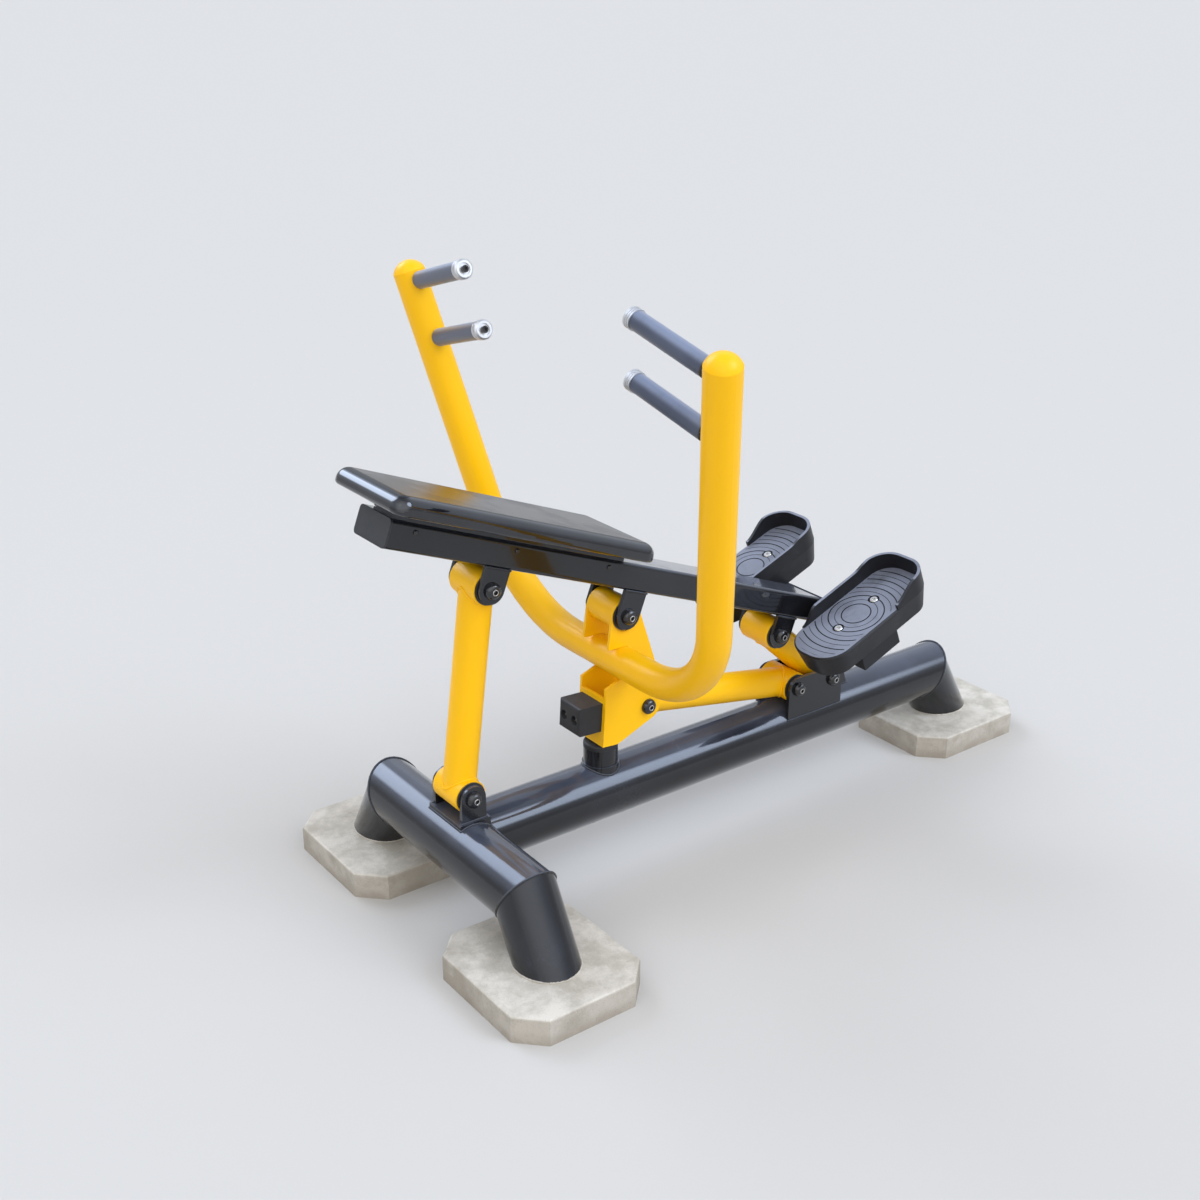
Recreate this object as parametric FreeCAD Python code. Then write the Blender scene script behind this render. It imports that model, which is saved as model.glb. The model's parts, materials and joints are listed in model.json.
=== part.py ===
import FreeCAD, Part
import math
import os

# Outdoor rowing machine: a fixed frame on three plinths, and a six-bar linkage
# with a seat beam and a handle lever.
# Millimetres. X runs forward to the pedals, Y to the rider's left, Z up from the floor.
# X is first measured from the rear cross tube; the whole part is centred over its footprint at the end.

# Fixed frame
main_tube_d = 114.3
main_tube_wall = 4.5
frame_height = 150.0
cross_tube_half = 218.0
spine_length = 1209.0
leg_splay = 30.0
leg_sole = 10.0

# Plinths
plinth_length = 300.0
plinth_width = 264.0
plinth_chamfer = 46.0
plinth_height = 50.0
plinth_arris = 5.0
rear_plinth_inset = 15.0
front_plinth_inset = 6.0
grout_gap = 0.3

# Link tubes, pivot sleeves, bushes and pins
link_tube_d = 60.3
link_tube_wall = 3.6
sleeve_d = 61.5
sleeve_wall = 5.0
sleeve_half = 38.0
bush_length = 24.0
bush_flange = 2.4
bush_seat = 0.05
side_play = 0.6
pin_d = 25.0
pin_run = 0.05
pin_fit = 0.1
clevis_wall = 8.0
clevis_eye_r = 25.0
cap_d = 30.0
cap_skirt = 3.5
cap_height = 11.0
cap_crown_d = 12.0
cap_bulge = 1.5
cap_socket_d = 8.0
cap_socket_depth = 3.0
front_open_play = 5.5
arm_open_play = 2.2

# Linkage at rest
rear_foot_x = 7.0
rear_foot_gap = 16.0
rear_link_length = 385.0
rear_link_lean = 7.5
front_foot_x = 878.0
front_foot_gap = 2.6
front_link_length = 203.5
front_link_lean = 48.3
lever_along = 313.0
lever_below = 8.0
crank_length = 206.0
crank_angle = 15.2
bracket_pitch = 96.0
arm_foot_gap = 5.6

# Rear clevis and front bracket on the frame
clevis_base_length = 62.0
clevis_base_height = 5.0
clevis_base_overhang = 4.0
bracket_margin = 26.0
bracket_drop = 43.0

# Stop stub and its rubber buffer
stub_x = 319.0
stub_d = 66.0
stub_ring_d = 71.0
stub_ring_height = 4.0
buffer_height = 14.0
buffer_crown = 3.0
buffer_edge = 5.0
buffer_gap = 0.4

# Seat beam, spacer and seat
beam_width = 100.0
beam_height = 50.0
beam_wall = 4.0
beam_corner_r = 8.0
beam_offset = 39.0
beam_rear = 226.0
beam_front = 790.0
plug_head = 4.0
plug_depth = 25.0
plug_play = 0.3
spacer_rear = 205.0
spacer_height = 16.0
spacer_corner_r = 2.0
seat_rear = 263.0
seat_front = 285.0
seat_width = 220.0
seat_thickness = 32.0
seat_corner_r = 25.0
seat_top_r = 22.0
seat_under_r = 7.0
seat_screw_d = 9.0
seat_screw_head = 3.0
seat_screw_below_top = 14.0
seat_screw_rear = 180.0
seat_screw_pitch = 206.0
seat_screw_count = 3

# Handle: a U of tube that leans back, with four grips
handle_below = 91.5
handle_back = 6.0
handle_lean = 11.5
handle_half_flat = 115.0
handle_bend_r = 220.0
handle_splay = 13.0
handle_height = 687.0
handle_dome = 20.0
upper_grip_from_top = 41.0
grip_pitch = 107.0
grip_tilt = 15.7
grip_reach = 211.0
grip_bar_d = 25.0
grip_d = 33.0
grip_play = 0.3
grip_root_gap = 4.0
collar_d = 36.0
collar_length = 16.0
collar_edge = 3.0
collar_groove_width = 1.2
collar_groove_depth = 0.8
collar_groove_pitch = 4.0
collar_groove_count = 2
collar_recess_d = 22.0
collar_recess = 2.5
grip_screw_d = 13.0
grip_screw_head = 6.0
grip_socket_d = 7.0
grip_socket_depth = 3.5

# Lever cheeks and what they carry
cheek_wall = 6.0
cheek_play = 1.0
cheek_eye_r = 29.0
tube_fit = 0.2
sole_drop = 257.0
sole_front = 16.0
sole_rear = 51.0
sole_tilt = 5.0
mouth_back = 38.0
mouth_half = 46.0
web_back = 33.0
web_above = 31.0
knee_reach = 69.0
knee_drop = 108.0
back_plate_wall = 6.0
back_plate_height = 96.0
bumper_length = 52.0
bumper_width = 64.0
bumper_height = 56.0
bumper_above_sole = 30.0
bumper_edge_r = 5.0
bumper_hole_pitch = 32.0
bumper_hole_d = 9.0
bumper_recess_d = 18.0
bumper_recess = 14.0
bumper_screw_d = 8.0
bumper_screw_head_d = 13.0
bumper_screw_head = 8.0

# Foot pedals on their crossbar and post
pedal_x = 829.0
pedal_height = 438.6
pedal_spread = 153.5
pedal_toe_up = 21.7
pedal_heel = 148.0
pedal_toe = 147.0
pedal_width = 130.0
pedal_heel_r = 56.0
pedal_toe_r = 50.0
pedal_depth = 51.0
pedal_base_inset = 10.0
tread_edge = 3.0
rim_wall = 6.0
rim_low = 1.0
rim_inner = 28.0
rim_step = 10.0
rim_toe = 35.0
inner_ramp_from_heel = 56.0
inner_ramp_length = 42.0
inner_toe_ramp_from_toe = 92.0
inner_toe_ramp_length = 46.0
outer_step_from_toe = 104.0
outer_ramp_length = 62.0
rim_stations = 15
tread_middle_from_heel = 141.0
groove_r = 29.0
groove_pitch = 13.0
groove_count = 9
groove_wide = 2.4
groove_fine = 1.2
groove_depth = 1.6
groove_margin = 3.0
pedal_screw_spacing = 100.0
pedal_recess_d = 23.0
pedal_recess = 3.0
pedal_screw_d = 17.0
pedal_screw_head = 3.6
pedal_screw_edge = 1.2
pedal_socket_d = 6.5
pedal_socket_depth = 2.4
block_rear = 62.0
bar_rear = 10.0
bar_width = 26.0
bar_height = 30.0
bar_wall = 3.0
bar_half = 190.0
post_foot_x = 934.0
post_depth = 20.0
post_width = 44.0
post_wall = 3.0

# How near to a height or face an edge counts as lying on it
touch = 0.01

# Sizes that follow from the ones above
main_r = main_tube_d / 2
link_r = link_tube_d / 2
sleeve_r = sleeve_d / 2
pin_r = pin_d / 2
frame_top = frame_height + main_r
clevis_inner = sleeve_half + bush_flange + side_play
clevis_outer = clevis_inner + clevis_wall
cheek_outer = clevis_inner - cheek_play
cheek_inner = cheek_outer - cheek_wall
beam_top = beam_offset + beam_height
spacer_top = beam_top + spacer_height


def vec(x, y, z):
    """A point or direction."""
    return FreeCAD.Vector(x, y, z)


def ahead(start, length, lean):
    """The point at a length from a start, along a line that leans forward from upright, in degrees."""
    angle = math.radians(lean)
    return (start[0] + length * math.sin(angle), start[1] + length * math.cos(angle))


# Pivot axes, each along Y through a point (x, z)
rear_foot = (rear_foot_x, frame_top + rear_foot_gap + sleeve_r)
rear_top = ahead(rear_foot, rear_link_length, rear_link_lean)
front_foot = (front_foot_x, frame_top + front_foot_gap + sleeve_r)
front_top = ahead(front_foot, front_link_length, -front_link_lean)
beam_tilt = math.degrees(math.atan2(rear_top[1] - front_top[1], front_top[0] - rear_top[0]))


def on_beam(along, up):
    """The point (x, z) at a distance along the seat beam from its rear pivot and a height square to it."""
    run = math.cos(math.radians(beam_tilt))
    drop = math.sin(math.radians(beam_tilt))
    return (rear_top[0] + along * run + up * drop, rear_top[1] - along * drop + up * run)


lever_hub = on_beam(lever_along, -lever_below)
lever_foot = ahead(lever_hub, -crank_length, -crank_angle)
arm_foot = (front_foot_x - bracket_pitch, frame_top + arm_foot_gap + sleeve_r)
handle_base = (lever_hub[0] - handle_back, lever_hub[1] - handle_below)
sole_point = (lever_hub[0] - sole_front, lever_hub[1] - sole_drop)


def rod(start, end, radius):
    """A solid cylinder between two points."""
    axis = end - start
    return Part.makeCylinder(radius, axis.Length, start, axis)


def pipe(start, end, radius, wall):
    """A round tube between two points."""
    return rod(start, end, radius).cut(rod(start, end, radius - wall))


def across(point, radius, half):
    """A solid cylinder along Y, centred on the middle plane."""
    return rod(vec(point[0], -half, point[1]), vec(point[0], half, point[1]), radius)


def trimmed(shape, point, normal):
    """A shape without what lies past a plane, on the side that the normal faces."""
    reach = 2 * shape.BoundBox.DiagonalLength
    middle = shape.BoundBox.Center
    foot = middle - normal * ((middle - point) * normal / normal.Length ** 2)
    block = Part.makeBox(2 * reach, 2 * reach, reach, vec(-reach, -reach, 0))
    block.Placement = FreeCAD.Placement(foot, FreeCAD.Rotation(vec(0, 0, 1), normal))
    return shape.cut(block)


def seated(shape, point, tilt):
    """A shape turned about Y, front down by the tilt in degrees, with its origin moved to a point (x, z)."""
    moved = shape.copy()
    turn = FreeCAD.Placement(vec(point[0], 0, point[1]), FreeCAD.Rotation(vec(0, 1, 0), tilt))
    moved.Placement = turn.multiply(moved.Placement)
    return moved


def mirrored(shape):
    """The same shape on the other side of the middle plane."""
    return shape.mirror(vec(0, 0, 0), vec(0, 1, 0))


def group(shapes):
    """One group of all the solids of some shapes."""
    return Part.makeCompound([solid for shape in shapes for solid in shape.Solids])


def both_sides(shape):
    """A shape and its mirror image as one group."""
    return group([shape, mirrored(shape)])


def outline(discs, to_point):
    """A closed wire round discs (p, q, radius) in counter-clockwise order, with lines tangent between them.

    A negative radius turns inwards and a radius of 0 is a sharp corner.
    """
    lines = []
    for index, (p, q, radius) in enumerate(discs):
        next_p, next_q, next_radius = discs[(index + 1) % len(discs)]
        span = math.hypot(next_p - p, next_q - q)
        heading = math.atan2(next_q - q, next_p - p) - math.asin((next_radius - radius) / span)
        left = (-math.sin(heading), math.cos(heading))
        start = (p - radius * left[0], q - radius * left[1])
        end = (next_p - next_radius * left[0], next_q - next_radius * left[1])
        lines.append((start, end, heading))
    edges = []
    for index, (start, end, heading) in enumerate(lines):
        edges.append(Part.LineSegment(to_point(*start), to_point(*end)).toShape())
        p, q, radius = discs[(index + 1) % len(discs)]
        next_start, _, next_heading = lines[(index + 1) % len(lines)]
        turn = (next_heading - heading) % (2 * math.pi)
        if radius < 0:
            turn -= 2 * math.pi
        if radius:
            middle = heading + turn / 2
            crown = (p + radius * math.sin(middle), q - radius * math.cos(middle))
            edges.append(Part.Arc(to_point(*end), to_point(*crown), to_point(*next_start)).toShape())
    return Part.Wire(edges)


def side_plate(discs, inner, wall):
    """A plate on the left side, parallel to the middle plane, from an outline in X and Z."""
    wire = outline(discs, lambda x, z: vec(x, inner, z))
    return Part.Face(wire).extrude(vec(0, wall, 0))


def plan_wire(discs, height):
    """A level outline in X and Y."""
    return outline(discs, lambda x, y: vec(x, y, height))


def plan_block(discs, low, high):
    """An upright block from a level outline in X and Y."""
    return Part.Face(plan_wire(discs, low)).extrude(vec(0, 0, high - low))


def level_edges(shape, height):
    """The edges of a shape that lie at a height."""
    low = height - touch
    high = height + touch
    return [edge for edge in shape.Edges if edge.BoundBox.ZMin > low and edge.BoundBox.ZMax < high]


def rounded_bar(length, width, height, corner_r):
    """A bar along X from the origin with rounded long edges, centred in width and height."""
    side = width / 2 - corner_r
    rise = height / 2 - corner_r
    corners = [(-side, -rise), (side, -rise), (side, rise), (-side, rise)]
    discs = [(y, z, corner_r) for y, z in corners]
    return Part.Face(outline(discs, lambda y, z: vec(0, y, z))).extrude(vec(length, 0, 0))


def turned(profile, arcs, start, axis):
    """A solid of revolution from (radius, height) points, with the crown of an arc after some of them."""
    edges = []
    for index, point in enumerate(profile):
        end = profile[(index + 1) % len(profile)]
        here = vec(point[0], 0, point[1])
        there = vec(end[0], 0, end[1])
        if index in arcs:
            edges.append(Part.Arc(here, vec(arcs[index][0], 0, arcs[index][1]), there).toShape())
        else:
            edges.append(Part.LineSegment(here, there).toShape())
    solid = Part.Face(Part.Wire(edges)).revolve(vec(0, 0, 0), vec(0, 0, 1), 360)
    solid.Placement = FreeCAD.Placement(start, FreeCAD.Rotation(vec(0, 0, 1), axis))
    return solid


def quarter(corner, radius):
    """The middle of a quarter arc that rounds an outer, upper corner (radius, height)."""
    inset = radius * (1 - math.sqrt(0.5))
    return (corner[0] - inset, corner[1] - inset)


def crown_middle(rim_r, base, rise):
    """The middle of the arc of a spherical crown, from its rim at a base height to its top on the axis."""
    ball_r = (rim_r ** 2 + rise ** 2) / (2 * rise)
    angle = math.asin(rim_r / ball_r) / 2
    return (ball_r * math.sin(angle), base + rise - ball_r * (1 - math.cos(angle)))


# Pivot hardware

def sleeve(point, half):
    """A pivot sleeve along Y."""
    return across(point, sleeve_r, half).cut(across(point, sleeve_r - sleeve_wall, half))


def bush_pair(point, half, play):
    """Two flanged bushes in the ends of a sleeve, with a radial play round the pin."""
    outer = sleeve_r - sleeve_wall - bush_seat
    inner = pin_r + play
    flange = sleeve_r - bush_flange
    profile = [(inner, -bush_length), (outer, -bush_length), (outer, 0), (flange, 0), (flange, bush_flange),
               (inner, bush_flange)]
    return both_sides(turned(profile, {}, vec(point[0], half, point[1]), vec(0, 1, 0)))


def cap_pair(point, face):
    """Two domed caps with a hexagon socket, over the ends of a pin."""
    rise = (cap_skirt + cap_height) / 2
    shoulder = (cap_d / 2 + cap_crown_d / 2) / 2
    profile = [(0, 0), (cap_d / 2, 0), (cap_d / 2, cap_skirt), (cap_crown_d / 2, cap_height), (0, cap_height)]
    dome = turned(profile, {2: (shoulder + cap_bulge, rise + cap_bulge)}, vec(0, 0, 0), vec(0, 0, 1))
    hexagon = Part.makePolygon([vec(cap_socket_d / 2 * math.cos(math.radians(60 * corner)),
                                    cap_socket_d / 2 * math.sin(math.radians(60 * corner)),
                                    cap_height - cap_socket_depth) for corner in range(7)])
    dome = dome.cut(Part.Face(hexagon).extrude(vec(0, 0, cap_socket_depth)))
    outward = FreeCAD.Rotation(vec(0, 0, 1), vec(0, 1, 0))
    dome.Placement = FreeCAD.Placement(vec(point[0], face, point[1]), outward)
    return both_sides(dome)


def pin_hole(point):
    """The hole for a pin through a pair of plates."""
    return across(point, pin_r + pin_fit, 2 * clevis_outer)


def link_tube(start, end):
    """A link's tube between two pivots, coped to the sleeves at its ends."""
    tube = pipe(vec(start[0], 0, start[1]), vec(end[0], 0, end[1]), link_r, link_tube_wall)
    for point in (start, end):
        tube = tube.cut(across(point, sleeve_r, clevis_inner))
    return tube


# Fixed frame

def spine_bar():
    """The full round of the spine, for what saddles on it."""
    return rod(vec(0, 0, frame_height), vec(spine_length, 0, frame_height), main_r)


def frame_tubes():
    """The cross tube, the spine and the three splayed legs, mitred at the bends and coped at the junction."""
    slope = math.radians(leg_splay)
    fall = frame_height - leg_sole
    run = fall * math.tan(slope)
    seam = math.radians((90 - leg_splay) / 2)
    over = main_tube_d
    mitre = vec(0, cross_tube_half, frame_height)
    mitre_normal = vec(0, math.cos(seam), -math.sin(seam))
    cross = pipe(vec(0, -cross_tube_half - over, frame_height), vec(0, cross_tube_half + over, frame_height),
                 main_r, main_tube_wall)
    cross = trimmed(cross, mitre, mitre_normal)
    cross = trimmed(cross, vec(0, -cross_tube_half, frame_height), vec(0, -mitre_normal.y, mitre_normal.z))
    down = vec(0, math.sin(slope), -math.cos(slope))
    foot = mitre + vec(0, run, -fall)
    rear_leg = pipe(mitre - down * over, foot + down * over, main_r, main_tube_wall)
    rear_leg = trimmed(rear_leg, mitre, mitre_normal * -1)
    rear_leg = trimmed(rear_leg, foot, vec(0, 0, -1))
    nose = vec(spine_length, 0, frame_height)
    nose_normal = vec(math.cos(seam), 0, -math.sin(seam))
    spine = pipe(vec(0, 0, frame_height), nose + vec(over, 0, 0), main_r, main_tube_wall)
    spine = trimmed(spine, nose, nose_normal)
    spine = spine.cut(rod(vec(0, -over, frame_height), vec(0, over, frame_height), main_r))
    ahead_down = vec(math.sin(slope), 0, -math.cos(slope))
    toe = nose + vec(run, 0, -fall)
    front_leg = pipe(nose - ahead_down * over, toe + ahead_down * over, main_r, main_tube_wall)
    front_leg = trimmed(front_leg, nose, nose_normal * -1)
    front_leg = trimmed(front_leg, toe, vec(0, 0, -1))
    return {"rear_cross_tube": cross, "rear_leg_left": rear_leg, "rear_leg_right": mirrored(rear_leg),
            "spine_tube": spine, "front_leg": front_leg}


def plinth(bend, inset):
    """A plinth with chamfered corners and a slanted pocket, for a leg that splays along +X."""
    slope = math.radians(leg_splay)
    foot = bend + (frame_height - plinth_height) * math.tan(slope)
    half_x = plinth_length / 2
    half_y = plinth_width / 2
    short_x = half_x - plinth_chamfer
    short_y = half_y - plinth_chamfer
    corners = [(-short_x, -half_y), (short_x, -half_y), (half_x, -short_y), (half_x, short_y),
               (short_x, half_y), (-short_x, half_y), (-half_x, short_y), (-half_x, -short_y)]
    block = plan_block([(foot - inset + x, y, 0) for x, y in corners], 0, plinth_height)
    block = block.makeFillet(plinth_arris, level_edges(block, plinth_height))
    start = vec(bend, 0, frame_height)
    end = start + vec(math.sin(slope), 0, -math.cos(slope)) * 2 * frame_height
    pocket = rod(start, end, main_r + grout_gap)
    return block.cut(trimmed(pocket, vec(0, 0, leg_sole), vec(0, 0, -1)))


def plinths():
    """The three plinths under the legs."""
    rear = plinth(cross_tube_half, rear_plinth_inset)
    rear.rotate(vec(0, 0, 0), vec(0, 0, 1), 90)
    return {"plinth_rear_left": rear, "plinth_rear_right": mirrored(rear),
            "plinth_front": plinth(spine_length, front_plinth_inset)}


def rear_clevis():
    """A base saddled on the cross tube, with two ears for the rear link."""
    half = clevis_base_length / 2
    top = frame_top + clevis_base_height
    depth = clevis_outer + clevis_base_overhang
    base = Part.makeBox(clevis_base_length, 2 * depth, main_r, vec(rear_foot[0] - half, -depth, top - main_r))
    ear = side_plate([(rear_foot[0] - clevis_eye_r, top, 0), (rear_foot[0] + clevis_eye_r, top, 0),
                      (*rear_foot, clevis_eye_r)], clevis_inner, clevis_wall)
    body = base.fuse([ear, mirrored(ear)]).cut(pin_hole(rear_foot))
    body = body.cut(rod(vec(0, -depth, frame_height), vec(0, depth, frame_height), main_r))
    return body.cut(spine_bar()).removeSplitter()


def front_bracket():
    """One of the two plates on the spine that hold the feet of the arm and of the front link."""
    low = frame_top - bracket_drop
    plate = side_plate([(arm_foot[0] - bracket_margin, low, 0), (front_foot[0] + bracket_margin, low, 0),
                        (*front_foot, clevis_eye_r), (*arm_foot, clevis_eye_r)], clevis_inner, clevis_wall)
    plate = plate.cut(pin_hole(arm_foot)).cut(pin_hole(front_foot))
    return plate.cut(spine_bar())


def stop():
    """The stub under the lever and the domed rubber buffer on it."""
    crown = sole_point[1] - buffer_gap
    buffer_r = stub_d / 2
    seat = crown - buffer_height
    ring_r = stub_ring_d / 2
    profile = [(0, -main_r), (ring_r, -main_r), (ring_r, stub_ring_height), (buffer_r, stub_ring_height),
               (buffer_r, seat - frame_top), (0, seat - frame_top)]
    post = turned(profile, {}, vec(stub_x, 0, frame_top), vec(0, 0, 1)).cut(spine_bar())
    flat = buffer_r - buffer_edge
    shoulder = buffer_height - buffer_crown
    profile = [(0, 0), (buffer_r, 0), (buffer_r, shoulder - buffer_edge), (flat, shoulder),
               (0, buffer_height)]
    arcs = {2: quarter((buffer_r, shoulder), buffer_edge), 3: crown_middle(flat, shoulder, buffer_crown)}
    rubber = turned(profile, arcs, vec(stub_x, 0, seat), vec(0, 0, 1))
    return {"stop_stub": post, "stop_buffer": rubber}


# Rear link, front link and arm

def link(name, start, end, start_half, end_half, start_play, end_play):
    """A tube with a sleeve and two bushes at each end."""
    return {
        name + "_tube": link_tube(start, end),
        name + "_sleeves": group([sleeve(start, start_half), sleeve(end, end_half)]),
        name + "_bushes": group([bush_pair(start, start_half, start_play),
                                 bush_pair(end, end_half, end_play)]),
    }


# Seat beam

def hanger(point):
    """Two plates under the beam that hold a pivot."""
    along = math.cos(math.radians(beam_tilt)) * (point[0] - rear_top[0])
    along -= math.sin(math.radians(beam_tilt)) * (point[1] - rear_top[1])
    left = on_beam(along - clevis_eye_r, beam_offset)
    right = on_beam(along + clevis_eye_r, beam_offset)
    plate = side_plate([(*point, clevis_eye_r), (*right, 0), (*left, 0)], clevis_inner, clevis_wall)
    return both_sides(plate.cut(pin_hole(point)))


def beam_tube():
    """The rectangular seat beam."""
    length = beam_rear + beam_front
    outer = rounded_bar(length, beam_width, beam_height, beam_corner_r)
    lost = 2 * beam_wall
    inner = rounded_bar(length, beam_width - lost, beam_height - lost, beam_corner_r - beam_wall)
    tube = outer.cut(inner)
    tube.translate(vec(-beam_rear, 0, beam_offset + beam_height / 2))
    return seated(tube, rear_top, beam_tilt)


def beam_plugs():
    """The plugs in the two ends of the beam: a head outside and a spigot inside."""
    lost = 2 * (beam_wall + plug_play)
    head = rounded_bar(plug_head, beam_width, beam_height, beam_corner_r)
    spigot = rounded_bar(plug_depth, beam_width - lost, beam_height - lost, beam_corner_r - beam_wall)
    spigot.translate(vec(plug_head, 0, 0))
    plug = head.fuse(spigot)
    front = plug.copy()
    front.rotate(vec(0, 0, 0), vec(0, 0, 1), 180)
    plug.translate(vec(-beam_rear - plug_head, 0, beam_offset + beam_height / 2))
    front.translate(vec(beam_front + plug_head, 0, beam_offset + beam_height / 2))
    return group([seated(plug, rear_top, beam_tilt), seated(front, rear_top, beam_tilt)])


def seat_spacer():
    """The long pad between the beam and the seat."""
    pad = rounded_bar(spacer_rear + seat_front - seat_corner_r, beam_width, spacer_height, spacer_corner_r)
    pad.translate(vec(-spacer_rear, 0, beam_top + spacer_height / 2))
    return seated(pad, rear_top, beam_tilt)


def seat_panel():
    """The flat seat, with rounded corners and a bull-nosed rim."""
    side = seat_width / 2 - seat_corner_r
    rear = -seat_rear + seat_corner_r
    front = seat_front - seat_corner_r
    discs = [(rear, -side, seat_corner_r), (front, -side, seat_corner_r), (front, side, seat_corner_r),
             (rear, side, seat_corner_r)]
    panel = plan_block(discs, spacer_top, spacer_top + seat_thickness)
    panel = panel.makeFillet(seat_top_r, level_edges(panel, spacer_top + seat_thickness))
    panel = panel.makeFillet(seat_under_r, level_edges(panel, spacer_top))
    return seated(panel, rear_top, beam_tilt)


def seat_screws():
    """Low screw heads along both sides of the beam, under the seat."""
    head_r = seat_screw_d / 2
    edge = seat_screw_head / 2
    profile = [(0, 0), (head_r, 0), (head_r, seat_screw_head - edge), (head_r - edge, seat_screw_head),
               (0, seat_screw_head)]
    heads = []
    for index in range(seat_screw_count):
        along = -seat_screw_rear + index * seat_screw_pitch
        place = vec(along, beam_width / 2, beam_top - seat_screw_below_top)
        head = turned(profile, {}, place, vec(0, 1, 0))
        heads.append(seated(both_sides(head), rear_top, beam_tilt))
    return group(heads)


# Handle lever

def on_handle(side, rise):
    """The point at a side distance and a rise in the plane of the handle."""
    lean = math.radians(handle_lean)
    return vec(handle_base[0] - rise * math.sin(lean), side, handle_base[1] + rise * math.cos(lean))


def upright_point(rise):
    """The point on the left upright's axis at a rise in the plane of the handle."""
    turn = math.radians(90 - handle_splay)
    bend_side = handle_half_flat + handle_bend_r * math.sin(turn)
    bend_rise = handle_bend_r * (1 - math.cos(turn))
    return on_handle(bend_side + (rise - bend_rise) * math.tan(math.radians(handle_splay)), rise)


def handle_sweep(radius):
    """A round bar along the whole U of the handle, below its domed ends."""
    turn = math.radians(90 - handle_splay)
    bend_rise = handle_bend_r * (1 - math.cos(turn))
    half = turn / 2
    crown = on_handle(handle_half_flat + handle_bend_r * math.sin(half), handle_bend_r * (1 - math.cos(half)))
    start = on_handle(handle_half_flat, 0)
    bend = upright_point(bend_rise)
    top = upright_point(handle_height - handle_dome)

    def flip(point):
        return vec(point.x, -point.y, point.z)

    edges = [Part.LineSegment(flip(top), flip(bend)), Part.Arc(flip(bend), flip(crown), flip(start)),
             Part.LineSegment(flip(start), start), Part.Arc(start, crown, bend), Part.LineSegment(bend, top)]
    path = Part.Wire([edge.toShape() for edge in edges])
    ring = Part.Wire([Part.Circle(flip(top), flip(bend) - flip(top), radius).toShape()])
    return path.makePipeShell([ring], True, False)


def handle_tube():
    """The bent tube of the handle."""
    return handle_sweep(link_r).cut(handle_sweep(link_r - link_tube_wall))


def handle_caps():
    """The domed ends of the two uprights."""
    top = upright_point(handle_height - handle_dome)
    axis = top - upright_point(handle_height - 2 * handle_dome)
    profile = [(0, 0), (link_r, 0), (0, handle_dome)]
    return both_sides(turned(profile, {1: crown_middle(link_r, 0, handle_dome)}, top, axis))


def grip_line(order):
    """The foot of a grip's axis on the upright's axis, and its direction, for the upper or the lower grip."""
    foot = upright_point(handle_height - upper_grip_from_top - order * grip_pitch)
    rise = math.radians(grip_tilt)
    inward = on_handle(-math.cos(rise), math.sin(rise)) - on_handle(0, 0)
    return foot, inward


def grip_rubber(foot, inward, upright):
    """A smooth rubber sleeve, cut to the upright."""
    start = foot + inward * (link_r + grip_root_gap)
    rubber = rod(start, foot + inward * (grip_reach - collar_length), grip_d / 2)
    return rubber.cut(rod(foot, foot + inward * grip_reach, grip_bar_d / 2 + grip_play)).cut(upright)


def grip_collar(foot, inward):
    """The end collar of a grip, with ring grooves and a recess for its screw."""
    rim = collar_d / 2
    recess = collar_recess_d / 2
    floor = collar_length - collar_recess
    profile = [(0, 0), (rim, 0)]
    for index in range(collar_groove_count):
        low = (index + 1) * collar_groove_pitch - collar_groove_width / 2
        high = low + collar_groove_width
        valley = rim - collar_groove_depth
        profile += [(rim, low), (valley, low), (valley, high), (rim, high)]
    profile += [(rim, collar_length - collar_edge), (rim - collar_edge, collar_length),
                (recess, collar_length), (recess, floor), (0, floor)]
    return turned(profile, {}, foot + inward * (grip_reach - collar_length), inward)


def grip_screw(foot, inward):
    """The round socket screw in a collar."""
    seat = foot + inward * (grip_reach - collar_recess)
    top = seat + inward * grip_screw_head
    head = rod(seat, top, grip_screw_d / 2)
    return head.cut(rod(top - inward * grip_socket_depth, top, grip_socket_d / 2))


def grip_set():
    """The four grips: a bar welded to the upright, a rubber sleeve, an end collar and its screw."""
    upright = rod(upright_point(handle_bend_r), upright_point(handle_height), link_r)
    nodes = {}
    bars = []
    collars = []
    screws = []
    for order, level in enumerate(("upper", "lower")):
        foot, inward = grip_line(order)
        bar = rod(foot, foot + inward * (grip_reach - collar_length), grip_bar_d / 2)
        bars.append(both_sides(bar.cut(upright)))
        collars.append(both_sides(grip_collar(foot, inward)))
        screws.append(both_sides(grip_screw(foot, inward)))
        nodes["grip_" + level + "_left"] = grip_rubber(foot, inward, upright)
        nodes["grip_" + level + "_right"] = mirrored(nodes["grip_" + level + "_left"])
    nodes["grip_bars"] = group(bars)
    nodes["grip_collars"] = group(collars)
    nodes["grip_screws"] = group(screws)
    return nodes


def sole_rear_point():
    """The lower rear corner of the cheeks."""
    run = sole_rear - sole_front
    return (sole_point[0] - run, sole_point[1] + run * math.tan(math.radians(sole_tilt)))


def lever_cheek():
    """A cheek plate: an eye for the arm, a slot for the handle tube and an edge coped to the hub sleeve."""
    plate = side_plate([
        (*sole_rear_point(), 0),
        (*sole_point, 0),
        (*lever_foot, cheek_eye_r),
        (lever_hub[0] + knee_reach, lever_hub[1] - knee_drop, 0),
        (*lever_hub, sleeve_r),
        (handle_base[0] - web_back, handle_base[1] + web_above, 0),
        (*handle_base, -(link_r + tube_fit)),
        (handle_base[0] - mouth_back, handle_base[1] - mouth_half, 0),
    ], cheek_inner, cheek_wall)
    return plate.cut(across(lever_hub, sleeve_r, clevis_outer)).cut(pin_hole(lever_foot))


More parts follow.
